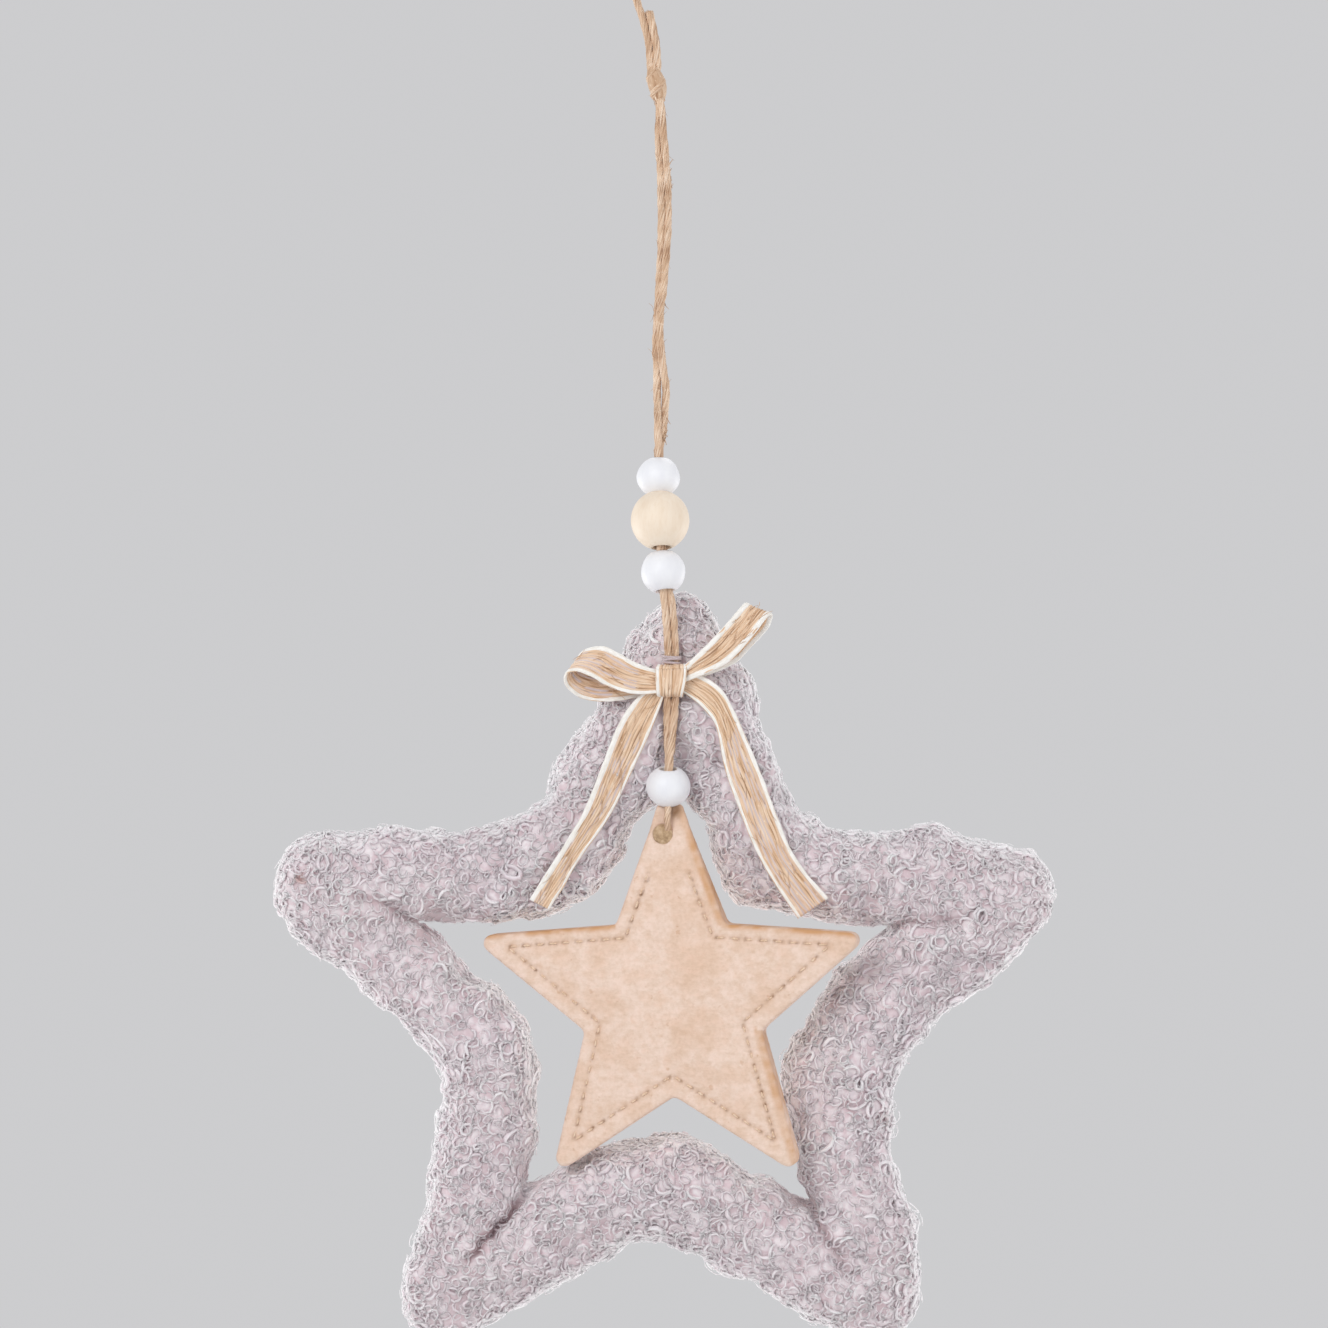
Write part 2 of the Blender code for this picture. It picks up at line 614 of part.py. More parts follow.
def leather_star(collection, cutters, material, twine):
    data = bpy.data.curves.new("leather_star", "CURVE")
    data.dimensions = "2D"
    data.fill_mode = "BOTH"
    data.extrude = LEATHER_THICKNESS / 2
    spline = data.splines.new("POLY")
    outline = leather_outline()
    spline.points.add(len(outline) - 1)
    for i, point in enumerate(outline):
        spline.points[i].co = (point.x, point.y, 0.0, 1.0)
    spline.use_cyclic_u = True
    flat = add_object("leather_star", data, collection)
    flat.matrix_world = Matrix.Rotation(math.pi / 2, 4, "X")
    bpy.context.view_layer.update()
    star = made_mesh(flat)
    rounding = star.modifiers.new("Edge", "BEVEL")
    rounding.width = LEATHER_EDGE_ROUNDING
    rounding.segments = 2
    rounding.limit_method = "ANGLE"
    rounding.angle_limit = math.radians(60.0)
    star = made_mesh(star)
    star.data.materials.append(material)
    for vert in star.data.vertices:
        vert.co.y *= neck_half_thickness(vert.co.z) / (LEATHER_THICKNESS / 2)
    smooth_shading(star.data)
    place = leather_place(twine)
    star.matrix_world = place
    drill = bpy.data.meshes.new("eyelet_drill")
    shape = bmesh.new()
    across = Matrix.Rotation(math.pi / 2, 4, "X")
    bmesh.ops.create_cone(shape, cap_ends=True, segments=16, radius1=EYELET_DIAMETER / 2,
                          radius2=EYELET_DIAMETER / 2, depth=3 * LEATHER_THICKNESS, matrix=across)
    shape.to_mesh(drill)
    shape.free()
    cutter = mark_cutter(add_object("eyelet_drill", drill, cutters))
    cutter.matrix_world = place @ Matrix.Translation((EYELET_SHIFT, 0.0, EYELET_REACH))
    combine(star, cutter, "DIFFERENCE")
    return star


def twine_eye(collection, material, twine):
    # The two strands part below the lowest bead and meet through the star's eyelet
    place = leather_place(twine)
    mouth = place.inverted() @ twine.at(bead_foot_drop())
    strand = EYE_STRAND_DIAMETER / 2
    in_bore = TWINE_DIAMETER / 2 - strand
    beside_neck = neck_half_thickness(TOP_TIP_CUT) + SEAT_GAP + strand
    swing = neck_half_thickness(EYELET_REACH) + SEAT_GAP + strand
    side = [(in_bore, EYE_START), (in_bore, EYE_START / 2), ((in_bore + beside_neck) / 2, 0.0),
            (beside_neck, -EYE_SPREAD_DROP)]
    front = [Vector((mouth.x, -out, mouth.z + up)) for out, up in side]
    back = [Vector((mouth.x, out, mouth.z + up)) for out, up in reversed(side)]
    bend = []
    for i in range(EYE_BEND_STEPS + 1):
        angle = math.pi * i / EYE_BEND_STEPS
        height = EYELET_REACH - EYE_SAG + EYE_BEND_HEIGHT * (1 - math.sin(angle))
        bend.append(Vector((EYELET_SHIFT + EYE_SHIFT, -swing * math.cos(angle), height)))
    curve = smooth_curve(front + bend + back, 3)
    points = [place @ p for p in even_points(curve, EYE_STEP)]
    return tube_curve("twine_eye", points, EYE_STRAND_DIAMETER, TUBE_RESOLUTION, collection, material)


def plain_tube(name, route, diameter, step, collection, material):
    points = even_points(smooth_curve([front_point(*p) for p in route], 10), step)
    return tube_curve(name, points, diameter, TUBE_RESOLUTION, collection, material)


def all_beads(collection, white, bare, twine):
    top_drop = NATURAL_BEAD_DROP - (NATURAL_BEAD_HEIGHT + WHITE_BEAD_HEIGHT) / 2 - 2 * SEAT_GAP
    size = (WHITE_BEAD_DIAMETER, WHITE_BEAD_HEIGHT)
    bead("bead_white_top", *size, top_drop, twine, collection, white)
    bead("bead_natural", NATURAL_BEAD_DIAMETER, NATURAL_BEAD_HEIGHT, NATURAL_BEAD_DROP, twine,
         collection, bare)
    bead("bead_white_middle", *size, middle_bead_drop(), twine, collection, white)
    bead("bead_white_lower", *size, lower_bead_drop(), twine, collection, white, LOWER_BEAD_FLARE)


def all_twine(collection, material, twine):
    top = UPPER_KNOT_DROP + UPPER_KNOT_HEIGHT / 2 + SEAT_GAP
    foot = bead_foot_drop() - EYE_START - TWINE_END_GAP
    points = twine.stretch(top, foot)
    tube_curve("twine_main", points, TWINE_DIAMETER, TUBE_RESOLUTION, collection, material)
    twine_knot("upper_knot", UPPER_KNOT_DIAMETER, UPPER_KNOT_HEIGHT,
               twine.frame_at(UPPER_KNOT_DROP), collection, material)
    plain_tube("twine_tail", TAIL_ROUTE, STRAND_DIAMETER, STRAND_STEP, collection, material)
    plain_tube("twine_hanger", HANGER_ROUTE, STRAND_DIAMETER, STRAND_STEP, collection, material)
    knot_place = Matrix.Translation((LOOP_KNOT_X, 0.0, -LOOP_KNOT_DROP))
    twine_knot("loop_knot", LOOP_KNOT_DIAMETER, LOOP_KNOT_HEIGHT, knot_place, collection, material)
    plain_tube("twine_loop", LOOP_ROUTE, STRAND_DIAMETER, LOOP_STEP, collection, material)
    twine_eye(collection, material, twine)


def build():
    clear_scene()
    parts = new_collection("Hanging star decoration")
    cutters = new_collection("Cutters")
    fleece = new_material("Fleece", (0.60, 0.56, 0.60), 0.95)
    leather = new_material("Leather", (0.80, 0.62, 0.46), 0.7)
    white_wood = new_material("White painted wood", (0.88, 0.88, 0.90), 0.5)
    bare_wood = new_material("Bare wood", (0.86, 0.74, 0.58), 0.6)
    jute = new_material("Jute", (0.70, 0.52, 0.34), 0.9)
    ribbon = new_material("Jute ribbon", (0.76, 0.60, 0.44), 0.9)
    thread = new_material("Thread", (0.46, 0.38, 0.40), 0.9)
    twine = Twine()

    fleece_star(parts, cutters, fleece, twine)
    leather_star(parts, cutters, leather, twine)
    all_beads(parts, white_wood, bare_wood, twine)
    all_twine(parts, jute, twine)
    thread_tie(parts, cutters, thread, twine)
    ribbon_bow(parts, cutters, ribbon, twine)


build()
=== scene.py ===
import math
import random

import bmesh
import bpy
from mathutils import Matrix, Vector, noise
from mathutils.bvhtree import BVHTree


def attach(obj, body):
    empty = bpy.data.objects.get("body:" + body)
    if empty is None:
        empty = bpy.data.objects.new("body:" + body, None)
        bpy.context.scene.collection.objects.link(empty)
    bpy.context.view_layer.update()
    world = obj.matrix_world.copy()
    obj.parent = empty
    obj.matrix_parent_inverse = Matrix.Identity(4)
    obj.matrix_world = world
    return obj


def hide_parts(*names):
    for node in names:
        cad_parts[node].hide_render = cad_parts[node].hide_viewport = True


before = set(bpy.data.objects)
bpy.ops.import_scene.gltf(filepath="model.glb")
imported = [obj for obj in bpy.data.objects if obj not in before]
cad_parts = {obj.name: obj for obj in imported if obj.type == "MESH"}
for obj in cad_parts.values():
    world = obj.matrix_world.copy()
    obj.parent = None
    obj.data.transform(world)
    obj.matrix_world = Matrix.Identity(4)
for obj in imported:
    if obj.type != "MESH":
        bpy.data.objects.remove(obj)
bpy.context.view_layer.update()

# Hanging star decoration: curly fleece star ring, stitched leather star, jute twine with
# wooden beads and a ribbon bow. Metres, seen from the front along +Y.
scene = bpy.context.scene
scene.view_settings.view_transform = "Standard"
mm = 0.001

cameraPlace = {"across": 0.00245, "height": -0.21407, "distance": 1.10, "seenWidth": 0.3621}


def addCamera():
    data = bpy.data.cameras.new("camera")
    data.lens = data.sensor_width * cameraPlace["distance"] / cameraPlace["seenWidth"]
    camera = bpy.data.objects.new("camera", data)
    camera.location = (cameraPlace["across"], -cameraPlace["distance"], cameraPlace["height"])
    camera.rotation_euler = (math.radians(90), 0, 0)
    scene.collection.objects.link(camera)
    scene.camera = camera


addCamera()
print("camera placed")


# Materials


def screen(red, green, blue):
    # a colour as a screen shows it, 0 to 255, made linear
    return tuple(((c / 255 + 0.055) / 1.055) ** 2.4 for c in (red, green, blue)) + (1.0,)


def addNode(material, kind, inputs=None, **settings):
    made = material.node_tree.nodes.new(kind)
    for key, value in settings.items():
        setattr(made, key, value)
    for key, value in (inputs or {}).items():
        if isinstance(value, bpy.types.NodeSocket):
            material.node_tree.links.new(value, made.inputs[key])
        else:
            made.inputs[key].default_value = value
    return made


def newMaterial(name, roughness, sheen=0.0):
    material = bpy.data.materials.new(name)
    material.use_nodes = True
    shader = material.node_tree.nodes["Principled BSDF"]
    shader.inputs["Roughness"].default_value = roughness
    shader.inputs["Sheen Weight"].default_value = sheen
    return material, shader


def colourRamp(material, factor, stops):
    ramp = addNode(material, "ShaderNodeValToRGB", {"Fac": factor})
    elements = ramp.color_ramp.elements
    while len(elements) < len(stops):
        elements.new(0.5)
    for element, (place, colour) in zip(elements, stops):
        element.position = place
        element.color = colour
    return ramp.outputs["Color"]


def blend(material, factor, first, second, kind="MIX"):
    return addNode(material, "ShaderNodeMix", {0: factor, 6: first, 7: second},
                   data_type="RGBA", blend_type=kind).outputs[2]


def multiplied(material, colour, other, share=1.0):
    return blend(material, share, colour, other, "MULTIPLY")


def mapped(material, source, scale, turn=(0, 0, 0)):
    return addNode(material, "ShaderNodeMapping", {"Vector": source, "Scale": scale,
                                                    "Rotation": turn}).outputs["Vector"]


def noiseOf(material, vector, scale, detail=3.0, roughness=0.55):
    return addNode(material, "ShaderNodeTexNoise",
                   {"Vector": vector, "Scale": scale, "Detail": detail,
                    "Roughness": roughness}).outputs["Fac"]


def objectSpace(material):
    return addNode(material, "ShaderNodeTexCoord").outputs["Object"]


def attribute(material, name, output="Fac"):
    return addNode(material, "ShaderNodeAttribute", attribute_name=name).outputs[output]


def join(material, shader, colour, height=None, strength=0.3, distance=0.0003):
    links = material.node_tree.links
    links.new(colour, shader.inputs["Base Color"])
    if height is not None:
        bump = addNode(material, "ShaderNodeBump",
                       {"Height": height, "Strength": strength, "Distance": distance})
        links.new(bump.outputs["Normal"], shader.inputs["Normal"])
    return material


def stainOrPaintedLight(material, colour, name, overlay):
    # a stain, a fleck or painted light and shade, laid on where the piece's attribute of that name says
    return blend(material, attribute(material, name), colour, overlay)


untinted = (1, 1, 1, 1)
paintedRimLight = screen(250, 248, 250)     # painted rim light: the pile painted paler along the sides of the tubes, as if lit from behind
speckColour = screen(168, 118, 106)


def softened(shader):
    # light passes a little way through the pile
    shader.inputs["Subsurface Weight"].default_value = 0.65
    shader.inputs["Subsurface Radius"].default_value = (1.0, 0.9, 0.92)
    shader.inputs["Subsurface Scale"].default_value = 0.0025
    shader.inputs["Sheen Roughness"].default_value = 0.5


def fleeceCurlMaterial():
    material, shader = newMaterial("curly fleece", 0.95, sheen=0.5)
    softened(shader)
    # the shade attribute holds each lock's tone: a random spread, and painted shade from the bunches and
    # folds
    lock = colourRamp(material, attribute(material, "shade"),
                      [(0.0, screen(238, 226, 230)), (0.5, screen(246, 238, 241)),
                       (1.0, screen(250, 247, 248))])
    # painted shade: each lock darker towards its root, where it meets the backing
    root = colourRamp(material, attribute(material, "height"),
                      [(0.0, (0.86, 0.77, 0.79, 1)), (0.6, (0.98, 0.96, 0.97, 1)), (1.0, untinted)])
    patches = noiseOf(material, objectSpace(material), 55, 2.0)
    tint = colourRamp(material, patches, [(0.35, (0.95, 0.93, 0.95, 1)), (0.65, untinted)])
    colour = multiplied(material, multiplied(material, lock, root), tint)
    # painted rim light: paler along the sides of the tubes, as if lit from behind
    colour = stainOrPaintedLight(material, colour, "rim", paintedRimLight)
    colour = stainOrPaintedLight(material, colour, "speck", speckColour)
    fuzz = noiseOf(material, objectSpace(material), 2600, 3.0)
    return join(material, shader, colour, fuzz, 0.45, 0.0003)


def fleeceBackingMaterial():
    # short pile under the locks, with the rings of the flattest locks in it
    material, shader = newMaterial("fleece backing", 1.0, sheen=0.4)
    softened(shader)
    place = objectSpace(material)
    bent = addNode(material, "ShaderNodeTexNoise", {"Vector": place, "Scale": 260.0}).outputs["Color"]
    swirl = blend(material, 0.0016, place, bent, "ADD")
    cells = addNode(material, "ShaderNodeTexVoronoi", {"Vector": swirl, "Scale": 300.0})
    # painted shade: the rings darker at their middles and where they meet, the low places of their bump
    rings = colourRamp(material, cells.outputs["Distance"],
                       [(0.16, (0.88, 0.85, 0.87, 1)), (0.36, untinted), (0.52, (0.98, 0.97, 0.98, 1)),
                        (0.68, (0.86, 0.78, 0.80, 1))])
    colour = colourRamp(material, noiseOf(material, place, 900, 4.0),
                        [(0.3, screen(234, 222, 225)), (0.7, screen(246, 239, 241))])
    colour = multiplied(material, colour, rings)
    # rim is the painted rim light, deep the painted shade in the clefts and folds, speck the real flecks
    # caught in the pile
    for name, overlay in (("rim", paintedRimLight), ("deep", screen(188, 162, 166)), ("speck", speckColour)):
        colour = stainOrPaintedLight(material, colour, name, overlay)
    return join(material, shader, colour, rings, 0.6, 0.0004)


def leatherMaterial():
    material, shader = newMaterial("tan leather", 0.72, sheen=0.12)
    place = objectSpace(material)
    blotches = noiseOf(material, place, 110, 5.0, 0.65)
    speckle = noiseOf(material, place, 950, 3.0)
    scratches = noiseOf(material, mapped(material, place, (0.45, 1, 1.0)), 620, 3.0, 0.7)
    pits = noiseOf(material, place, 420, 2.0)
    colour = colourRamp(material, blotches,
                        [(0.30, screen(223, 192, 169)), (0.46, screen(227, 199, 179)),
                         (0.58, screen(233, 209, 193)), (0.74, screen(225, 194, 171))])
    grain = colourRamp(material, speckle, [(0.36, (0.93, 0.90, 0.86, 1)), (0.56, untinted)])
    worn = colourRamp(material, scratches, [(0.34, (0.95, 0.93, 0.90, 1)), (0.48, untinted),
                                            (0.62, (1.05, 1.05, 1.07, 1))])
    marks = colourRamp(material, pits, [(0.25, (0.84, 0.74, 0.64, 1)), (0.32, untinted)])
    for share, other in ((0.7, grain), (1.0, worn), (0.8, marks)):
        colour = multiplied(material, colour, other, share)
    # groove darkens along the seam, needleHole is painted shade in the needle holes, edgeStain is the brown
    # stain on the cut edge, and the last is a darker brown round the eyelet and at the blunt top corner
    for name, overlay in (("groove", screen(206, 170, 138)), ("needleHole", screen(138, 98, 66)),
                        ("edgeStain", screen(204, 154, 108)), ("eyeletBrown", screen(140, 104, 74))):
        colour = stainOrPaintedLight(material, colour, name, overlay)
    return join(material, shader, colour, speckle, 0.25, 0.0002)


def eyeletFeltMaterial():
    material, shader = newMaterial("olive felt", 0.95, sheen=0.2)
    place = objectSpace(material)
    dirt = noiseOf(material, place, 700, 4.0)
    colour = colourRamp(material, dirt, [(0.30, screen(150, 121, 90)), (0.52, screen(190, 161, 128)),
                                         (0.70, screen(212, 186, 155))])
    return join(material, shader, colour, dirt, 0.6, 0.0003)


def whitePaintMaterial():
    material, shader = newMaterial("white paint", 0.48)
    place = objectSpace(material)
    brushed = noiseOf(material, mapped(material, place, (1, 1, 0.35)), 420, 3.0)
    colour = colourRamp(material, brushed, [(0.3, screen(233, 234, 239)), (0.7, screen(240, 241, 244))])
    return join(material, shader, colour, brushed, 0.12, 0.0002)


def bareWoodMaterial():
    material, shader = newMaterial("bare wood", 0.55)
    place = mapped(material, objectSpace(material), (1, 1, 0.22), (0.12, 0.08, 0))
    rings = noiseOf(material, place, 420, 4.0, 0.6)
    colour = colourRamp(material, rings, [(0.28, screen(235, 217, 195)), (0.5, screen(239, 223, 203)),
                                          (0.72, screen(241, 227, 209))])
    pores = noiseOf(material, place, 1500, 2.0)
    pitted = colourRamp(material, pores, [(0.3, (0.92, 0.88, 0.82, 1)), (0.5, untinted)])
    colour = multiplied(material, colour, pitted, 0.35)
    return join(material, shader, colour, rings, 0.12, 0.0002)


def fibreMaterial(name, dark, middle, light, fleck, across=2100, along=0.07):
    # plant fibre: streaks that run along the piece's own straightened length
    material, shader = newMaterial(name, 0.85, sheen=0.15)
    lay = mapped(material, attribute(material, "lay", "Vector"), (1, 1, along))
    streaks = noiseOf(material, lay, across, 3.0, 0.65)
    colour = colourRamp(material, streaks, [(0.30, dark), (0.47, middle), (0.66, light)])
    yarn = colourRamp(material, attribute(material, "tone"),
                      [(0.0, (0.80, 0.74, 0.68, 1)), (0.5, untinted), (1.0, (1.0, 1.04, 1.10, 1))])
    flecks = noiseOf(material, lay, across * 0.4, 2.0)
    spots = colourRamp(material, flecks, [(0.28, fleck), (0.36, untinted)])
    colour = multiplied(material, multiplied(material, colour, yarn), spots, 0.8)
    # painted shade: dark brown in the grooves between the yarns, in broken dashes
    broken = noiseOf(material, mapped(material, lay, (0.35, 0.35, 0.6)), across, 2.0)
    shadeDashes = colourRamp(material, broken, [(0.45, (0, 0, 0, 1)), (0.58, untinted)])
    groove = addNode(material, "ShaderNodeMath", {0: attribute(material, "groove"), 1: shadeDashes},
                     operation="MULTIPLY").outputs["Value"]
    colour = blend(material, groove, colour, multiplied(material, dark, (0.56, 0.48, 0.42, 1)))
    short = noiseOf(material, mapped(material, lay, (1.0, 1.0, 4.0)), across * 1.2, 2.0)
    chaff = colourRamp(material, short, [(0.62, (0, 0, 0, 1)), (0.70, (0.75, 0.75, 0.75, 1))])
    colour = blend(material, chaff, colour, screen(246, 228, 206))
    # painted see-through: the lilac grey of the lit fleece behind the ribbon, where the yarns part; there is
    # no hole
    colour = stainOrPaintedLight(material, colour, "gap", screen(214, 202, 206))
    return join(material, shader, colour, streaks, 0.6, 0.0002)


def threadMaterial(name, roughness, fineness, dark, light, lightFrom=0.7, bump=0.4, laid=True):
    # spun thread: a fine twist, along the piece's own length where that is laid in it
    material, shader = newMaterial(name, roughness, sheen=0.2)
    if laid:
        place = mapped(material, attribute(material, "lay", "Vector"), (1, 1, 0.3))
    else:
        place = objectSpace(material)
    twist = noiseOf(material, place, fineness, 2.0)
    colour = colourRamp(material, twist, [(0.3, dark), (lightFrom, light)])
    return join(material, shader, colour, twist, bump, 0.0001)


def plainMaterial(name, colour, roughness):
    material, shader = newMaterial(name, roughness)
    shader.inputs["Base Color"].default_value = colour
    return material


jute = fibreMaterial("jute", screen(164, 124, 96), screen(213, 180, 150), screen(237, 213, 189),
                     (0.50, 0.38, 0.30, 1))
ribbonJute = fibreMaterial("ribbon jute", screen(190, 146, 108), screen(228, 193, 160),
                           screen(243, 220, 195), (0.55, 0.42, 0.32, 1), 1900, 0.06)
print("materials ready")


# Shared shapes


def meshFrom(bm, name, asMade=False):
    # the finished mesh, its faces turned outwards unless they stay as they were made
    if not asMade:
        bmesh.ops.recalc_face_normals(bm, faces=bm.faces)
    mesh = bpy.data.meshes.new(name)
    bm.to_mesh(mesh)
    bm.free()
    return mesh


def addPiece(name, bm, material, replaced=(), asMade=False):
    piece = bpy.data.objects.new(name, meshFrom(bm, name, asMade))
    scene.collection.objects.link(piece)
    piece.data.materials.append(material)
    piece.data.shade_smooth()
    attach(piece, "root")
    if replaced:
        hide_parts(*replaced)
    return piece


def layerOf(layers, name):
    return layers.get(name) or layers.new(name)


def smoothStep(value):
    value = min(1.0, max(0.0, value))
    return value * value * (3 - 2 * value)


def smoothCurve(points, spans, closed=False):
    # a Catmull-Rom curve through every point
    curve = []
    count = len(points)
    last = count - 1
    for i in range(count if closed else last):
        if closed:
            a, b, c, d = (points[(i + k) % count] for k in (-1, 0, 1, 2))
        else:
            a, b, c, d = points[max(i - 1, 0)], points[i], points[i + 1], points[min(i + 2, last)]
        for step in range(spans):
            t = step / spans
            curve.append(0.5 * (2 * b + (c - a) * t + (2 * a - 5 * b + 4 * c - d) * t * t
                                + (3 * b - a - 3 * c + d) * t ** 3))
    curve.append((points[0] if closed else points[last]).copy())
    return curve


def evenPoints(curve, count):
    # the same curve with count + 1 points an even distance apart
    lengths = [0.0]
    for a, b in zip(curve, curve[1:]):
        lengths.append(lengths[-1] + (b - a).length)
    points = []
    k = 0
    for i in range(count + 1):
        wanted = lengths[-1] * i / count
        while k < len(curve) - 2 and lengths[k + 1] < wanted:
            k += 1
        share = (wanted - lengths[k]) / max(lengths[k + 1] - lengths[k], 1e-9)
        points.append(curve[k].lerp(curve[k + 1], min(share, 1.0)))
    return points


def lineLength(line):
    return sum((b - a).length for a, b in zip(line, line[1:]))


def aheadAt(line, i):
    return (line[min(i + 1, len(line) - 1)] - line[max(i - 1, 0)]).normalized()


def frameAt(point, across, ahead):
    # a matrix at the point, Z ahead and X as near to across as can be
    across = (across - across.dot(ahead) * ahead).normalized()
    return Matrix.Translation(point) @ Matrix((across, ahead.cross(across), ahead)).transposed().to_4x4()


def framesAlong(line, side=Vector((1, 0, 0))):
    # matrices along a line, turned as little as can be
    frames = []
    for i, point in enumerate(line):
        frames.append(frameAt(point, side, aheadAt(line, i)))
        side = frames[-1].col[0].to_3d()
    return frames


def addTube(bm, frames, sizes, sides=8, closed=False, lengthScale=1.0):
    # a tube through the frames; sizes are half its width and half its depth at each
    lay = layerOf(bm.verts.layers.float_vector, "lay")
    ring = bmesh.ops.create_circle(bm, cap_ends=not closed, segments=sides, radius=1.0)["verts"]
    for vert in ring:
        vert[lay] = Vector((vert.co.x * sizes[0][0], vert.co.y * sizes[0][1], 0.0))
    edges = list({edge for vert in ring for edge in vert.link_edges})
    places = [f @ Matrix.Diagonal((w, d, 1.0, 1.0)) for f, (w, d) in zip(frames, sizes)]
    bmesh.ops.transform(bm, matrix=places[0], verts=ring)
    firstEdges = edges
    along = 0.0
    for i in range(1, len(places)):
        made = bmesh.ops.extrude_edge_only(bm, edges=edges)["geom"]
        verts = [g for g in made if isinstance(g, bmesh.types.BMVert)]
        fresh = set(verts)
        edges = [g for g in made if isinstance(g, bmesh.types.BMEdge) and fresh.issuperset(g.verts)]
        bmesh.ops.transform(bm, matrix=places[i] @ places[i - 1].inverted(), verts=verts)
        along += (places[i].translation - places[i - 1].translation).length * lengthScale
        for vert in verts:
            vert[lay] = Vector((vert[lay].x, vert[lay].y, along))
    if closed:
        bmesh.ops.bridge_loops(bm, edges=edges + firstEdges)
    else:
        bmesh.ops.edgeloop_fill(bm, edges=edges)


def addFibre(bm, line, radii, sides):
    # a round tube through the points, with its own radius at each
    addTube(bm, framesAlong(line), [(radius, radius) for radius in radii], sides)


def windRound(frames, offsets, angles):
    # a line that winds round another, at its own distance and angle at each frame
    return [f @ Vector((r * math.cos(a), r * math.sin(a), 0)) for f, r, a in zip(frames, offsets, angles)]


strand = {
    "yarns": 5, "yarnShare": 0.50, "reachShare": 0.52, "pitch": 0.0170,
    # how uneven the yarns lie: along which length, in angle, in reach and in thickness
    "unevenLength": 0.007, "sway": 0.35, "stray": 0.32, "lumps": 0.24,
}


def addStrand(bm, line, radius, seed, pitch=1.0, sides=6):
    # one strand of twine: soft yarns laid together with a long twist, a little uneven
    draw = random.Random(seed)
    frames = framesAlong(line)
    step = lineLength(line) / (len(line) - 1)
    start = draw.uniform(0, 6)
    size = radius * strand["yarnShare"]
    tone = layerOf(bm.verts.layers.float, "tone")
    for k in range(strand["yarns"]):
        wander = draw.uniform(0, 50)
        shade = draw.uniform(0.15, 0.85)
        places = [Vector((wander, i * step / strand["unevenLength"], k)) for i in range(len(line))]
        angles = [start + 2 * math.pi * (k / strand["yarns"] + i * step / strand["pitch"] / pitch)
                  + strand["sway"] * noise.noise(p) for i, p in enumerate(places)]
        reach = [radius * strand["reachShare"] * (1 + strand["stray"] * noise.noise(p * 1.7)) for p in places]
        radii = [size * (1 + strand["lumps"] * noise.noise(p * 2.3)) for p in places]
        first = len(bm.verts)
        addFibre(bm, windRound(frames, reach, angles), radii, sides)
        bm.verts.ensure_lookup_table()
        for vert in bm.verts[first:]:
            vert[tone] = shade


# Cords

# routes of the cords as the solid model has them, in millimetres: across, and down from the hook point
twineRoute = [
    (-0.3, 51.0), (0.4, 56.4), (1.4, 62.2), (1.7, 70.6), (2.3, 78.8), (2.6, 87.3), (2.5, 98.4),
    (1.8, 109.9), (1.0, 119.2), (0.9, 127.6), (1.4, 133.9), (1.8, 140.2), (1.6, 147.5), (1.1, 155.7),
    (0.9, 162.3), (1.4, 175.1), (2.2, 188.9), (3.1, 194.6), (4.0, 201.3), (4.5, 209.2), (4.6, 213.5),
    (4.4, 218.4), (4.4, 223.1), (4.1, 233.4), (3.7, 241.6), (3.6, 247.2), (3.6, 253.0)]
tailRoute = [(0.3, 53.5), (0.5, 50.5), (0.2, 45.3), (-0.7, 40.6), (-1.6, 36.2)]
hangerRoute = [
    (-1.0, 53.5), (-1.3, 50.5), (-1.7, 45.3), (-2.7, 40.6), (-4.0, 36.2), (-5.3, 32.2), (-6.1, 28.0),
    (-6.2, 23.8)]
loopRoute = [
    (-7.3, 17.1), (-8.6, 12.6), (-8.0, 7.0), (-5.0, 1.6), (0.0, -1.0), (4.2, 1.3), (5.2, 6.0),
    (2.9, 10.6), (-1.4, 13.8), (-4.6, 16.7)]
loopKnotRoute = [(-6.2, 21.5), (-6.6, 19.0)]     # through the knot, from the hanger to the loop

twineSizes = {
    "strandRadius": 0.00108, "step": 0.0008,
    "top": 0.0600, "foot": 0.2503,
    # angle of the two strands round the line and their distance from it, by drop
    "lie": [(0.0600, 1.3, 0.00085), (0.0750, 0.5, 0.00090), (0.0900, -0.2, 0.00090),
            (0.1050, 0.5, 0.00080), (0.1200, 1.1, 0.00075), (0.1320, 0.7, 0.00098),
            (0.1400, 0.1, 0.00122), (0.1480, -0.5, 0.00095), (0.1560, -1.3, 0.00070),
            (0.1650, -1.5, 0.00070), (0.1900, -0.9, 0.00085), (0.1990, -0.1, 0.00100),
            (0.2260, 0.1, 0.00100), (0.2330, 0.8, 0.00088), (0.2400, 1.4, 0.00078), (0.2510, 1.7, 0.00075)],
    # how far back the line lies, by drop, as the beads tilt on it
    "depth": [(0.1360, 0.0), (0.1575, 0.0038), (0.1630, 0.0028), (0.1680, 0.0018), (0.1749, 0.0),
              (0.1824, -0.0015), (0.1840, -0.0008), (0.1890, -0.0016), (0.1942, -0.0026), (0.2060, 0.0),
              (0.2360, 0.0), (0.2418, -0.0010), (0.2474, -0.0004), (0.2503, 0.0)],
}


def hung(route):
    return [Vector((across * mm, 0.0, -drop * mm)) for across, drop in route]


def readTable(rows, value, column):
    # smoothly between the rows of a table whose first column rises
    if value <= rows[0][0]:
        return rows[0][column]
    for low, high in zip(rows, rows[1:]):
        if value <= high[0]:
            share = smoothStep((value - low[0]) / (high[0] - low[0]))
            return low[column] + (high[column] - low[column]) * share
    return rows[-1][column]


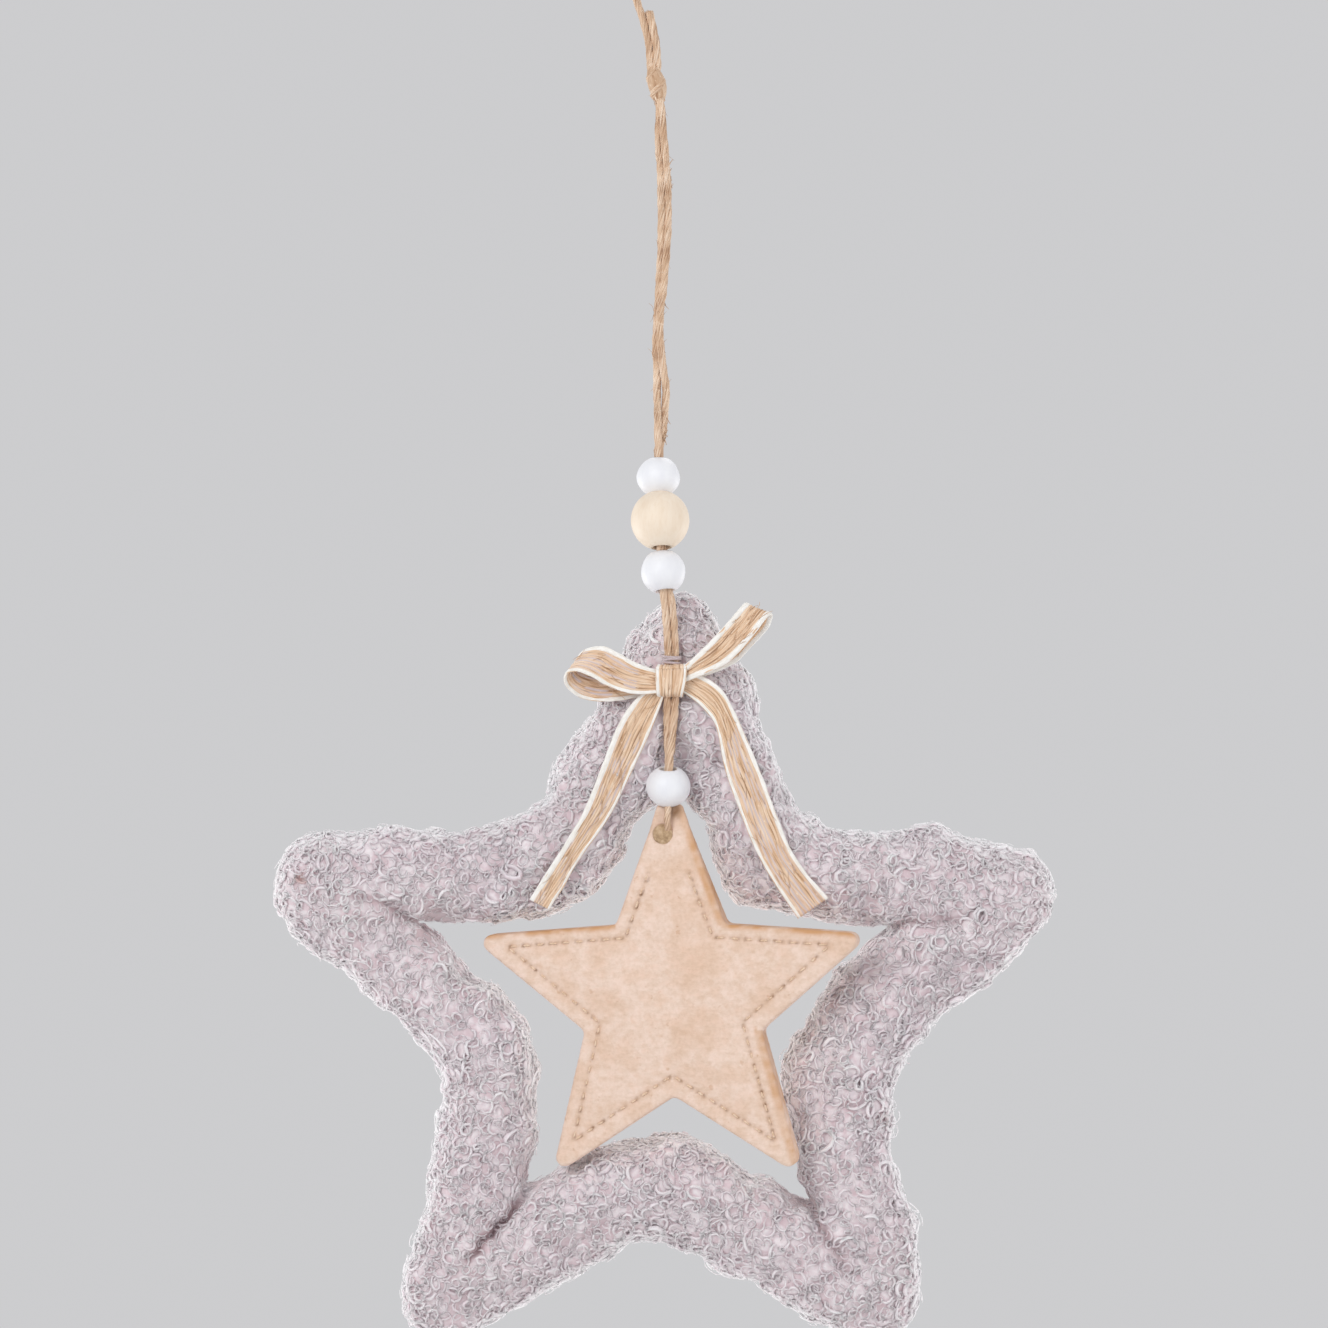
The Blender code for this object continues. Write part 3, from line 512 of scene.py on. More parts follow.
twineCurve = smoothCurve(hung(twineRoute), 12)
for point in twineCurve:
    point.y = readTable(twineSizes["depth"], -point.z, 1)


def twineAt(drop):
    for a, b in zip(twineCurve, twineCurve[1:]):
        if -b.z >= drop:
            break
    return a.lerp(b, (drop + a.z) / (a.z - b.z))


def twineFrame(drop, reach=0.003):
    up = twineAt(drop - reach) - twineAt(drop + reach)
    up.y = 0
    return frameAt(twineAt(drop), Vector((1, 0, 0)), up.normalized())


def twineLine(top, foot, step):
    inner = [p for p in twineCurve if top < -p.z < foot]
    line = [twineAt(top)] + inner + [twineAt(foot)]
    return evenPoints(line, max(4, round(lineLength(line) / step)))


def doubledTwine():
    line = twineLine(twineSizes["top"], twineSizes["foot"], twineSizes["step"])
    frames = framesAlong(line)
    bm = bmesh.new()
    for half, seed in ((0, 3), (math.pi, 4)):
        angles = [half + readTable(twineSizes["lie"], -p.z, 1) for p in line]
        offsets = [readTable(twineSizes["lie"], -p.z, 2) for p in line]
        addStrand(bm, windRound(frames, offsets, angles), twineSizes["strandRadius"], seed)
    piece = addPiece("doubled_twine", bm, jute, ("twine_main",))
    return piece, line


def hangingStrand():
    curve = smoothCurve(hung(hangerRoute + loopKnotRoute + loopRoute), 10)
    line = evenPoints(curve, round(lineLength(curve) / twineSizes["step"]))
    bm = bmesh.new()
    addStrand(bm, line, twineSizes["strandRadius"] * 0.95, 7, 0.8)
    piece = addPiece("hanging_strand", bm, jute, ("twine_hanger", "twine_loop"))
    return piece, line


# where each knot lies, its turns, its core's radius near the ends, its height and its seed
knots = {
    "upper": (twineFrame(0.0560), 2.2, 0.00140, 0.0108, 21),
    "loop": (Matrix.Translation((-0.0062, 0, -0.0205)), 1.6, 0.00135, 0.0058, 22),
}


def woundKnot(which):
    # a strand wrapped round the twine on a full core, its turns pulled tight and slightly uneven
    place, turns, endRadius, height, seed = knots[which]
    draw = random.Random(seed)
    tilt = draw.uniform(-0.12, 0.12)

    def coreRadius(share):      # slim at both ends and full in the middle
        return endRadius * (0.60 + 1.20 * math.sin(math.pi * share) ** 0.8)

    count = round(turns * 16)
    line = []
    for i in range(count + 1):
        share = i / count
        angle = 2 * math.pi * turns * share - 0.6
        reach = max(0.0002, coreRadius(share) - 0.00085)
        rise = height * (share - 0.5) * 0.92 + 0.0007 * math.sin(angle + 1.0)
        line.append(place @ Vector((reach * math.cos(angle) + tilt * rise, reach * math.sin(angle), rise)))
    bm = bmesh.new()
    addStrand(bm, line, twineSizes["strandRadius"] * 1.12, seed, 0.6)
    shares = [i / 8 for i in range(9)]
    core = [place @ Vector((0.0003 * math.sin(5 * share), 0, height * (share - 0.5))) for share in shares]
    addFibre(bm, core, [coreRadius(share) for share in shares], 16)
    return addPiece(which + "_twine_knot", bm, jute, (which + "_knot",))


cutEndSizes = {
    "steps": 22, "fullness": 1.15,
    # the splayed fibres: how many, how far apart, how deep they root, how long, and their radii
    "fibres": 14, "spread": 0.0008, "root": 0.0012, "length": (0.0010, 0.0018),
    "fibreRadii": (0.00022, 0.00020, 0.00008),
}


def cutEnd():
    # the short cut end beside the strand, with its fibres splayed at the top
    line = evenPoints(smoothCurve(hung(tailRoute), 8), cutEndSizes["steps"])
    bm = bmesh.new()
    addStrand(bm, line, twineSizes["strandRadius"] * cutEndSizes["fullness"], 11)
    draw = random.Random(12)
    ahead = (line[-1] - line[-4]).normalized()
    for _ in range(cutEndSizes["fibres"]):
        out = Vector((draw.uniform(-1, 1), draw.uniform(-1, 1), 0)) * cutEndSizes["spread"]
        root = line[-1] + out - ahead * cutEndSizes["root"]
        tip = root + ahead * draw.uniform(*cutEndSizes["length"]) + out * draw.uniform(0.0, 0.4)
        addFibre(bm, [root, root.lerp(tip, 0.5) + out * 0.1, tip], cutEndSizes["fibreRadii"], 4)
    return addPiece("twine_cut_end", bm, jute, ("twine_tail",))


twinePiece, twinePath = doubledTwine()
strandPiece, strandPath = hangingStrand()
knotPiece = woundKnot("upper")
loopKnotPiece = woundKnot("loop")
cutEndPiece = cutEnd()

stray = {
    # drops between which the fibres stand off the twine, and how many there are
    "runs": ((0.052, 0.155), (0.196, 0.239)), "count": 110,
    # frayed places: drop, spread and fibres
    "frayed": ((0.0796, 0.0012, 16), (0.1500, 0.0018, 12)),
    "length": (0.0010, 0.0034),
    # start off the line, radius and lift of a fibre, elsewhere and at a frayed place
    "single": (0.0014, 0.00009, 0.16), "tuft": (0.0011, 0.00022, 0.24),
}


def strayFibres():
    # fine fibres that stand off the twine here and there, and two frayed places
    draw = random.Random(51)
    (a, b), (c, d) = stray["runs"]
    places = [draw.choice((draw.uniform(a, b), draw.uniform(c, d))) for _ in range(stray["count"])]
    for drop, spread, fibres in stray["frayed"]:
        places += [draw.gauss(drop, spread) for _ in range(fibres)]
    bm = bmesh.new()
    for i, drop in enumerate(places):
        frayed = i >= stray["count"]
        offset, radius, lift = stray["tuft"] if frayed else stray["single"]
        angle = draw.uniform(-0.7, 0.7) if frayed else draw.uniform(0, 2 * math.pi)
        out = Vector((math.cos(angle), 0.6 * math.sin(angle), 0))
        start = twineAt(drop) + out * offset
        length = draw.uniform(*stray["length"])
        ahead = Vector((0, 0, draw.choice((-1, 1))))
        line = [start, start + ahead * length * 0.5 + out * length * lift,
                start + ahead * length * 0.85 + out * length * draw.uniform(0.3, 0.6)]
        addFibre(bm, evenPoints(smoothCurve(line, 4), 4), [radius * (1 - 0.16 * k) for k in range(5)], 3)
    return addPiece("twine_stray_fibres", bm, jute)


strayPiece = strayFibres()
print("twine and knots made")


# Beads

beadSizes = {
    "boreRadius": 0.0023, "mouthRounding": 0.0005, "steps": 64, "sideSteps": 28, "mouthSteps": 4,
    # from the solid model: how low the lowest bead hangs and how high it is
    "lowestDrop": 0.24715, "lowestHeight": 0.0107,
    # drop, depth, tilt towards the viewer in degrees, dents, width, height and seed
    "natural": (0.1749, 0.0, 13, 0.00005, 0.0160, 0.0154, 2),
    "white_top": (0.1630, 0.0030, 13, 0.00022, 0.0118, 0.0098, 5),
    "white_middle": (0.18895, -0.0016, 12, 0.00014, 0.0121, 0.0108, 8),
    "white_lower": (0.24740, -0.0004, -14, 0.00010, 0.0121, 0.0101, 13),
}


def beadProfile(diameter, height):
    # the round side from the top down, then the rounded mouths of the bore
    bore, rounding = beadSizes["boreRadius"], beadSizes["mouthRounding"]
    half = height / 2
    flat = bore + rounding
    start = math.acos(flat / (diameter / 2))
    profile = []
    for i in range(beadSizes["sideSteps"] + 1):
        angle = start * (1 - 2 * i / beadSizes["sideSteps"])
        profile.append((diameter / 2 * math.cos(angle), half * math.sin(angle) / math.sin(start)))
    turns = [math.pi / 2 * i / beadSizes["mouthSteps"] for i in range(beadSizes["mouthSteps"] + 1)]
    profile += [(flat - rounding * math.sin(a), -half + rounding * (1 - math.cos(a))) for a in turns[1:]]
    profile += [(bore + rounding * (1 - math.cos(a)), half - rounding * (1 - math.sin(a)))
                for a in turns[:-1]]
    return profile


def turnedBead(node, material):
    drop, depth, tilt, dents, diameter, height, seed = beadSizes[node]
    bm = bmesh.new()
    verts = [bm.verts.new((r, 0, z)) for r, z in beadProfile(diameter, height)]
    edges = [bm.edges.new(pair) for pair in zip(verts, verts[1:] + verts[:1])]
    bmesh.ops.spin(bm, geom=verts + edges, cent=(0, 0, 0), axis=(0, 0, 1), dvec=(0, 0, 0),
                   angle=2 * math.pi, steps=beadSizes["steps"], use_merge=True)
    bmesh.ops.remove_doubles(bm, verts=bm.verts, dist=1e-7)
    for vert in bm.verts:
        if vert.co.xy.length > beadSizes["boreRadius"] + beadSizes["mouthRounding"]:
            wobble = noise.noise(vert.co / 0.004 + Vector((seed, 0, 0)))
            vert.co += vert.co.normalized() * wobble * dents
    place = twineFrame(drop)
    place.translation.y = depth
    bmesh.ops.transform(bm, matrix=place @ Matrix.Rotation(math.radians(-tilt), 4, "X"), verts=bm.verts)
    return addPiece("turned_bead_" + node, bm, material, ("bead_" + node,))


def makeBeads():
    white = whitePaintMaterial()
    beads = [turnedBead("natural", bareWoodMaterial())]
    beads += [turnedBead(node, white) for node in ("white_top", "white_middle", "white_lower")]
    return beads


beadPieces = makeBeads()
print("beads turned")


# Leather star

leather = {
    # the solid's own sizes
    "tipReach": 0.0592, "tipShares": (1.05, 1.0, 1.0, 1.0, 0.975), "valleyReach": 0.0258,
    "turn": math.radians(-11), "lean": math.radians(1.3), "topCut": 0.0527, "shift": 0.0016, "gap": 0.0006,
    "thickness": 0.0075, "neckLength": 0.0145, "neckThickness": 0.0010,
    "eyelet": Vector((-0.0019, 0, 0.0454)), "eyeletRadius": 0.0023,
    # what the scene adds
    "voxel": 0.0006, "padding": 0.0010, "paddingRun": 0.013, "neckRise": 0.0009, "neckRiseFrom": 0.046,
    "seamInset": 0.0043, "seamShift": Vector((-0.0003, 0.0006)), "seamStart": 0.0345,
    "grooveWidth": 0.0009, "grooveDepth": 0.00030,
    "stitchPitch": 0.0038, "stitchLength": 0.0019, "stitchRadius": 0.00030,
    "holeDepth": 0.00035, "holeHalfLength": 0.00050, "holeHalfWidth": 0.00045,
    # how far the brown stain comes in from edges that face up and right
    "stainAbove": 0.0019, "stainRight": 0.0027,
    # a brown patch at the blunt top corner
    "patch": Vector((0.0017, 0.0508)), "patchRadius": 0.0024,
}


def lowestBeadFoot():
    return beadSizes["lowestDrop"] + beadSizes["lowestHeight"] / 2


def leatherPlace():
    middle = twineAt(beadSizes["lowestDrop"]) + Vector((leather["shift"], 0, 0))
    middle.z = -(lowestBeadFoot() + leather["gap"] + leather["topCut"])
    turn = Matrix.Rotation(leather["turn"], 4, "Z") @ Matrix.Rotation(-leather["lean"], 4, "Y")
    middle.y = -(turn @ leather["eyelet"]).y
    return Matrix.Translation(middle) @ turn


def starCorners():
    corners = []
    for i in range(10):
        reach = leather["valleyReach"] if i % 2 else leather["tipReach"] * leather["tipShares"][i // 2]
        angle = math.pi / 2 + i * math.pi / 5
        corners.append(Vector((reach * math.cos(angle), reach * math.sin(angle))))
    return corners


def insetCorners(corners, inset):
    # each corner moved in so that every side runs inset away from the outline
    moved = []
    for i, corner in enumerate(corners):
        back = (corners[i - 1] - corner).normalized()
        ahead = (corners[(i + 1) % len(corners)] - corner).normalized()
        middle = (back + ahead).normalized()
        reach = inset / math.sqrt(max(1e-6, (1 - back.dot(ahead)) / 2))
        moved.append(corner + middle * (reach if i % 2 == 0 else -reach))
    return moved


def nearestSide(point, corners):
    # distance to the outline and the way its nearest side faces
    best, facing = 1.0, None
    for a, b in zip(corners, corners[1:] + corners[:1]):
        side = b - a
        share = min(1.0, max(0.0, (point - a).dot(side) / side.length_squared))
        away = (point - a - side * share).length
        if away < best:
            best, facing = away, Vector((side.y, -side.x))
    return best, facing.normalized()


def seamCorners():
    return [corner + leather["seamShift"] for corner in insetCorners(starCorners(), leather["seamInset"])]


def stitchPlaces():
    # middles and directions of the stitches along the seam, seen from the front
    seam = seamCorners()
    places = []
    for a, b in zip(seam, seam[1:] + seam[:1]):
        run = b - a
        count = max(1, round(run.length / leather["stitchPitch"]))
        for k in range(count):
            middle = a + run * (k + 0.5) / count
            if middle.y < leather["seamStart"]:
                places.append((middle, run / count))
    return places


def remeshed(bm, voxel, name):
    # the closed shape again with even small faces
    mesh = meshFrom(bm, name)
    carrier = bpy.data.objects.new(name, mesh)
    scene.collection.objects.link(carrier)
    remesh = carrier.modifiers.new("even", "REMESH")
    remesh.mode = "VOXEL"
    remesh.voxel_size = voxel
    graph = bpy.context.evaluated_depsgraph_get()
    even = bpy.data.meshes.new_from_object(carrier.evaluated_get(graph))
    bpy.data.objects.remove(carrier)
    made = bmesh.new()
    made.from_mesh(even)
    return made


def nodeShape(name):
    bm = bmesh.new()
    bm.from_mesh(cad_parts[name].data)
    bmesh.ops.remove_doubles(bm, verts=bm.verts, dist=1e-6)
    return bm


def smoothed(bm, times):
    for _ in range(times):
        bmesh.ops.smooth_vert(bm, verts=bm.verts, factor=0.5, use_axis_x=True, use_axis_y=True,
                              use_axis_z=True)
    bm.normal_update()


def needleHoles():
    # two at each stitch: where, the way the seam runs there and how deep
    draw = random.Random(33)
    holes = []
    for middle, run in stitchPlaces():
        holes.append((middle + run * 0.28, run.normalized(), draw.uniform(0.3, 1.0)))
        holes.append((middle - run * 0.28, run.normalized(), draw.uniform(0.0, 0.6)))
    return holes


def holeAt(flat, holes):
    deepest = 0.0
    for spot, along, strength in holes:
        away = flat - spot
        if away.length < 4 * leather["holeHalfLength"]:
            ahead = away.dot(along)
            across = away.length_squared - ahead * ahead
            deepest = max(deepest, strength * math.exp(-(ahead / leather["holeHalfLength"]) ** 2
                                                       - across / leather["holeHalfWidth"] ** 2))
    return deepest


def edgeStainAt(local, distance, out):
    # the cut edge is stained brown where it faces up or to the right
    above = smoothStep((out.y - 0.25) / 0.5) * smoothStep((leather["stainAbove"] - distance) / 0.0017)
    right = smoothStep((out.x - 0.2) / 0.5) * smoothStep((leather["stainRight"] - distance) / 0.0016)
    right *= smoothStep((out.y + 0.3) / 0.3)
    uneven = 0.75 + 0.9 * noise.noise(local / 0.007) + 0.5 * noise.noise(local / 0.002)
    return min(1.0, max(0.0, max(above, 0.8 * right) * uneven))


def eyeletBrownAt(local, flat):
    # darker brown in a ring round the eyelet and in a patch at the blunt top corner, below the lowest bead
    away = (flat - Vector((leather["eyelet"].x, leather["eyelet"].z))).length
    ring = 0.55 * smoothStep((leather["eyeletRadius"] + 0.0007 - away) / 0.0009)
    corner = smoothStep(1.2 - (flat - leather["patch"]).length / leather["patchRadius"])
    return max(ring, corner * (0.9 + 0.5 * noise.noise(local / 0.0012)))


def leatherStar():
    place = leatherPlace()
    back = place.inverted()
    bm = remeshed(nodeShape("leather_star"), leather["voxel"], "leather")
    smoothed(bm, 4)
    layers = bm.verts.layers.float
    groove, needle = layers.new("groove"), layers.new("needleHole")
    overlay, eyeBrown = layers.new("edgeStain"), layers.new("eyeletBrown")
    corners, seam, holes = starCorners(), seamCorners(), needleHoles()
    for vert in bm.verts:
        local = back @ vert.co
        facing = abs((back.to_3x3() @ vert.normal).y)
        flat = Vector((local.x, local.z))
        distance, out = nearestSide(flat, corners)
        seamed = smoothStep((leather["seamStart"] + 0.003 - local.z) / 0.004)
        dip = math.exp(-(nearestSide(flat, seam)[0] / leather["grooveWidth"]) ** 2) * seamed
        hole = holeAt(flat, holes)
        rise = leather["padding"] * smoothStep((distance - leather["seamInset"]) / leather["paddingRun"])
        rise += 0.00020 * noise.noise(local / 0.009) + 0.00008 * noise.noise(local / 0.003)
        change = (rise - leather["grooveDepth"] * dip - leather["holeDepth"] * hole) * facing ** 2
        local.y += change if local.y > 0 else -change
        worn = 0.5 + 0.5 * noise.noise(local / 0.011)
        vert[groove] = 0.35 * dip * worn
        # painted shade: dark brown in the needle holes
        vert[needle] = min(1.0, hole * facing * (0.55 + worn))
        vert[overlay] = edgeStainAt(local, distance, out)
        vert[eyeBrown] = eyeletBrownAt(local, flat)
        local.z += leather["neckRise"] * smoothStep((local.z - leather["neckRiseFrom"]) / 0.006)
        vert.co = place @ local
    star = addPiece("stitched_leather_star", bm, leatherMaterial(), ("leather_star",))


def starStitches():
    place = leatherPlace()
    draw = random.Random(31)
    bm = bmesh.new()
    radius = leather["stitchRadius"]
    depth = leather["thickness"] / 2 - leather["grooveDepth"]
    for middle, run in stitchPlaces():
        for side in (-1, 1):
            turn = math.atan2(run.y, run.x) + draw.uniform(-0.12, 0.12)
            local = (Matrix.Translation((middle.x, side * (depth + radius * 0.6), middle.y))
                     @ Matrix.Rotation(-turn, 4, "Y")
                     @ Matrix.Diagonal((leather["stitchLength"] / 2 * draw.uniform(0.85, 1.1),
                                        radius, radius * draw.uniform(0.9, 1.15), 1)))
            bmesh.ops.create_uvsphere(bm, u_segments=8, v_segments=6, radius=1.0,
                                      matrix=place @ local @ Matrix.Rotation(math.pi / 2, 4, "Y"))
    thread = threadMaterial("stitching thread", 0.8, 1800, screen(208, 174, 142), screen(238, 214, 190),
                            laid=False)
    addPiece("leather_stitches", bm, thread)


def neckHalf(height):
    # half the leather's thickness at a height in its pinched neck
    share = (height - (leather["topCut"] - leather["neckLength"])) / leather["neckLength"]
    share = min(1.0, max(0.0, share))
    return (leather["thickness"] + (leather["neckThickness"] - leather["thickness"]) * share) / 2


def eyeletFelt():
    # the stuffing that shows in the eyelet, a soft low pad
    bm = bmesh.new()
    bmesh.ops.create_uvsphere(bm, u_segments=24, v_segments=12, radius=1.0)
    for vert in bm.verts:
        vert.co.z = math.copysign(abs(vert.co.z) ** 0.35, vert.co.z)
        vert.co.z += 0.16 * noise.noise(vert.co * 2.2) * vert.co.z
    radius = leather["eyeletRadius"] * 1.25
    shape = (leatherPlace() @ Matrix.Translation(leather["eyelet"]) @ Matrix.Rotation(math.pi / 2, 4, "X")
             @ Matrix.Diagonal((radius, radius, neckHalf(leather["eyelet"].z), 1)))
    bmesh.ops.transform(bm, matrix=shape, verts=bm.verts)
    addPiece("eyelet_felt", bm, eyeletFeltMaterial())


leatherStar()
starStitches()
eyeletFelt()
print("leather star made")

eye = {
    "strandRadius": 0.00098, "steps": 50,
    # the half ring through the eyelet: how far to the front and back, how high, and its place
    "swing": 0.0026, "bend": 0.0034, "rise": 0.0010, "shift": 0.0016,
    # from the bead's mouth down to the ring, in millimetres: across, away, up
    "front": [(0.2, -0.9, 2.2), (0.2, -1.2, 0.4), (0.3, -1.9, -1.6)],
}


def eyeStrands():
    # the two strands part below the lowest bead and meet through the eyelet
    place = leatherPlace()
    mouth = place.inverted() @ twineAt(lowestBeadFoot())
    middle = leather["eyelet"]
    front = [Vector((mouth.x + x * mm, y * mm, mouth.z + z * mm)) for x, y, z in eye["front"]]
    points = list(front)
    for i in range(9):
        angle = math.pi * i / 8
        points.append(Vector((middle.x + eye["shift"], -eye["swing"] * math.cos(angle),
                              middle.z + eye["rise"] + eye["bend"] * (1 - math.sin(angle)))))
    points += [Vector((p.x, -p.y, p.z)) for p in reversed(front)]
    curve = smoothCurve([place @ p for p in points], 8)
    bm = bmesh.new()
    addStrand(bm, evenPoints(curve, eye["steps"]), eye["strandRadius"], 17, 0.6)
    return addPiece("eyelet_strand", bm, jute, ("twine_eye",))


eyePiece = eyeStrands()


# Ribbon bow

ribbon = {
    "knotDrop": 0.2186, "knotHalf": 0.0042, "width": 0.0100, "thickness": 0.00040, "alongStep": 0.0006,
    "yarns": 7, "yarnCuts": 4, "ridge": 0.00022, "wander": 0.11,
    "cottonShare": 0.11, "cottonCuts": 2, "cottonHalfWidth": 0.00092, "cottonHalfDepth": 0.00038,
    # loose fibres: how far apart, how long, and how their radius falls off
    "loosePitch": 0.0018, "looseLength": (0.0016, 0.0042), "looseRadius": 0.00010, "looseTaper": 0.00001,
}

# the ribbon's two edges, strip by strip, in millimetres from the middle of the knot: across, away, up
leftLoop = (
    [(-2.6, -2.6, 2.2), (-7.1, -3.6, 3.8), (-10.6, -4.2, 5.2), (-14.5, -4.6, 7.4), (-17.7, -4.4, 9.0),
     (-21.3, -3.0, 9.0), (-24.0, -0.8, 7.9), (-25.1, 0.4, 6.0), (-23.5, 0.8, 4.1), (-19.4, 0.7, 3.5),
     (-13.9, 0.5, 3.0), (-8.5, 0.3, 1.9), (-2.6, 0.3, 0.8)],
    [(-2.6, -3.2, -3.4), (-8.5, -4.2, -3.7), (-13.1, -5.0, -3.0), (-17.7, -5.8, -1.2),
     (-21.5, -6.4, 1.1), (-25.1, -6.6, 2.5), (-28.1, -6.0, 2.2), (-29.0, -4.8, 0.0),
     (-27.5, -3.0, -2.7), (-24.0, -1.2, -4.9), (-18.5, 0.0, -5.7), (-11.2, 0.3, -5.0), (-2.6, 0.3, -3.4)])
rightLoop = (
    [(2.6, -2.6, 3.0), (8.2, -3.6, 8.0), (11.7, -4.0, 11.6), (15.3, -4.2, 15.5), (17.7, -4.0, 18.3),
     (19.6, -3.0, 20.5), (20.4, -1.8, 21.0), (19.4, -0.6, 20.2), (16.9, -0.2, 17.2), (12.3, 0.0, 12.0),
     (8.5, 0.1, 7.9), (2.6, 0.3, 2.6)],
    [(2.6, -2.8, -0.6), (12.3, -3.6, 3.4), (16.6, -4.2, 6.3), (20.2, -4.4, 10.1), (23.2, -4.2, 13.8),
     (26.2, -3.2, 17.6), (27.4, -1.8, 17.8), (26.2, -0.7, 14.2), (21.8, -0.2, 9.4), (18.2, 0.0, 5.6),
     (13.4, 0.1, 3.0), (2.6, 0.3, -1.0)])
leftTail = (
    [(-2.8, -1.6, 0.6), (-10.4, -2.2, -6.3), (-14.9, -3.0, -13.9), (-18.8, -3.4, -24.0),
     (-23.7, -3.4, -36.0), (-30.0, -3.2, -46.6), (-34.4, -2.9, -53.4), (-38.2, -2.6, -59.7)],
    [(-0.9, -1.4, -0.6), (-2.8, -0.6, -6.8), (-6.3, -0.4, -15.3), (-10.9, -0.4, -25.1),
     (-16.9, -0.5, -37.1), (-24.8, -0.6, -48.3), (-29.2, -0.6, -55.9), (-33.3, -0.6, -62.4)])
rightTail = (
    [(1.6, -1.0, -2.4), (5.2, -0.9, -4.5), (9.3, -1.0, -8.2), (12.4, -1.0, -13.1), (14.7, -0.8, -24.4),
     (19.6, -0.8, -37.9), (23.2, -0.8, -46.6), (27.8, -0.8, -54.8), (34.6, -0.8, -64.9)],
    [(1.6, -1.0, 2.4), (7.0, -1.2, 1.8), (13.4, -1.2, -2.2), (17.7, -1.0, -9.5), (23.7, -0.6, -23.5),
     (29.2, -0.6, -37.9), (32.3, -0.6, -45.5), (36.8, -0.8, -52.4), (42.8, -1.2, -59.2)])
knotWrap = (
    [(-4.2, -3.6, 3.0), (-4.2, -4.2, 0.0), (-4.1, -3.6, -3.1), (-3.8, -1.2, -4.1), (-3.6, 1.6, -3.6),
     (-3.6, 2.4, 0.0), (-3.6, 1.6, 3.4), (-3.8, -1.4, 4.1)],
    [(4.3, -3.6, 3.2), (4.0, -4.4, 0.0), (3.3, -3.8, -3.2), (3.2, -1.2, -4.2), (3.4, 1.6, -3.7),
     (3.6, 2.4, 0.0), (3.7, 1.6, 3.6), (4.1, -1.4, 4.3)])

# each strip's edges, where its thin places begin and how rare they are, and the width of its cotton edges
bowStrips = ((leftLoop, (0.12, -0.12), (0.80, 0.62)), (rightLoop, (2, 0), (0.85, 0.85)),
             (leftTail, (0.25, 0.05), (0.95, 0.52)), (rightTail, (0.30, -0.18), (0.55, 0.70)),
             (knotWrap, (2, 0), (0.62, 0.45)))


def railPair(edges, closed):
    rails = [smoothCurve([Vector(p) * mm for p in rail], 8, closed) for rail in edges]
    count = round(max(lineLength(rail) for rail in rails) / ribbon["alongStep"])
    return [evenPoints(rail, count) for rail in rails]


def acrossPlaces():
    # where the lengthwise lines of a strip lie, from -1 at one edge to 1 at the other
    inner = 1 - 2 * ribbon["cottonShare"]
    count = ribbon["yarns"] * ribbon["yarnCuts"]
    rim = [inner + (1 - inner) * i / ribbon["cottonCuts"] for i in range(1, ribbon["cottonCuts"] + 1)]
    middle = [inner * (2 * i / count - 1) for i in range(count + 1)]
    return [-r for r in reversed(rim)] + middle + rim


def stripRows(bm, rails, seed, step):
    # points from rail to rail, row by row, the yarns' lines a little uneven
    across = acrossPlaces()
    inner = 1 - 2 * ribbon["cottonShare"]
    verts = [bm.verts.new(rails[0][0].lerp(rails[1][0], (a + 1) / 2)) for a in across]
    edges = [bm.edges.new(pair) for pair in zip(verts, verts[1:])]
    rows = [verts]
    for i in range(1, len(rails[0])):
        made = bmesh.ops.extrude_edge_only(bm, edges=edges)["geom"]
        edges = [g for g in made if isinstance(g, bmesh.types.BMEdge)
                 and all(v not in rows[-1] for v in g.verts)]
        fresh = [g for g in made if isinstance(g, bmesh.types.BMVert)]
        rows.append(sorted(fresh, key=lambda v: (v.co - rows[-1][0].co).length))
        for vert, a in zip(rows[-1], across):
            wander = ribbon["wander"] * noise.noise(Vector((a * 4 + seed * 9, i * step / 0.007, 0)))
            wander *= smoothStep((inner - abs(a)) / 0.1)
            vert.co = rails[0][i].lerp(rails[1][i], (a + wander + 1) / 2)
    bm.normal_update()
    return rows


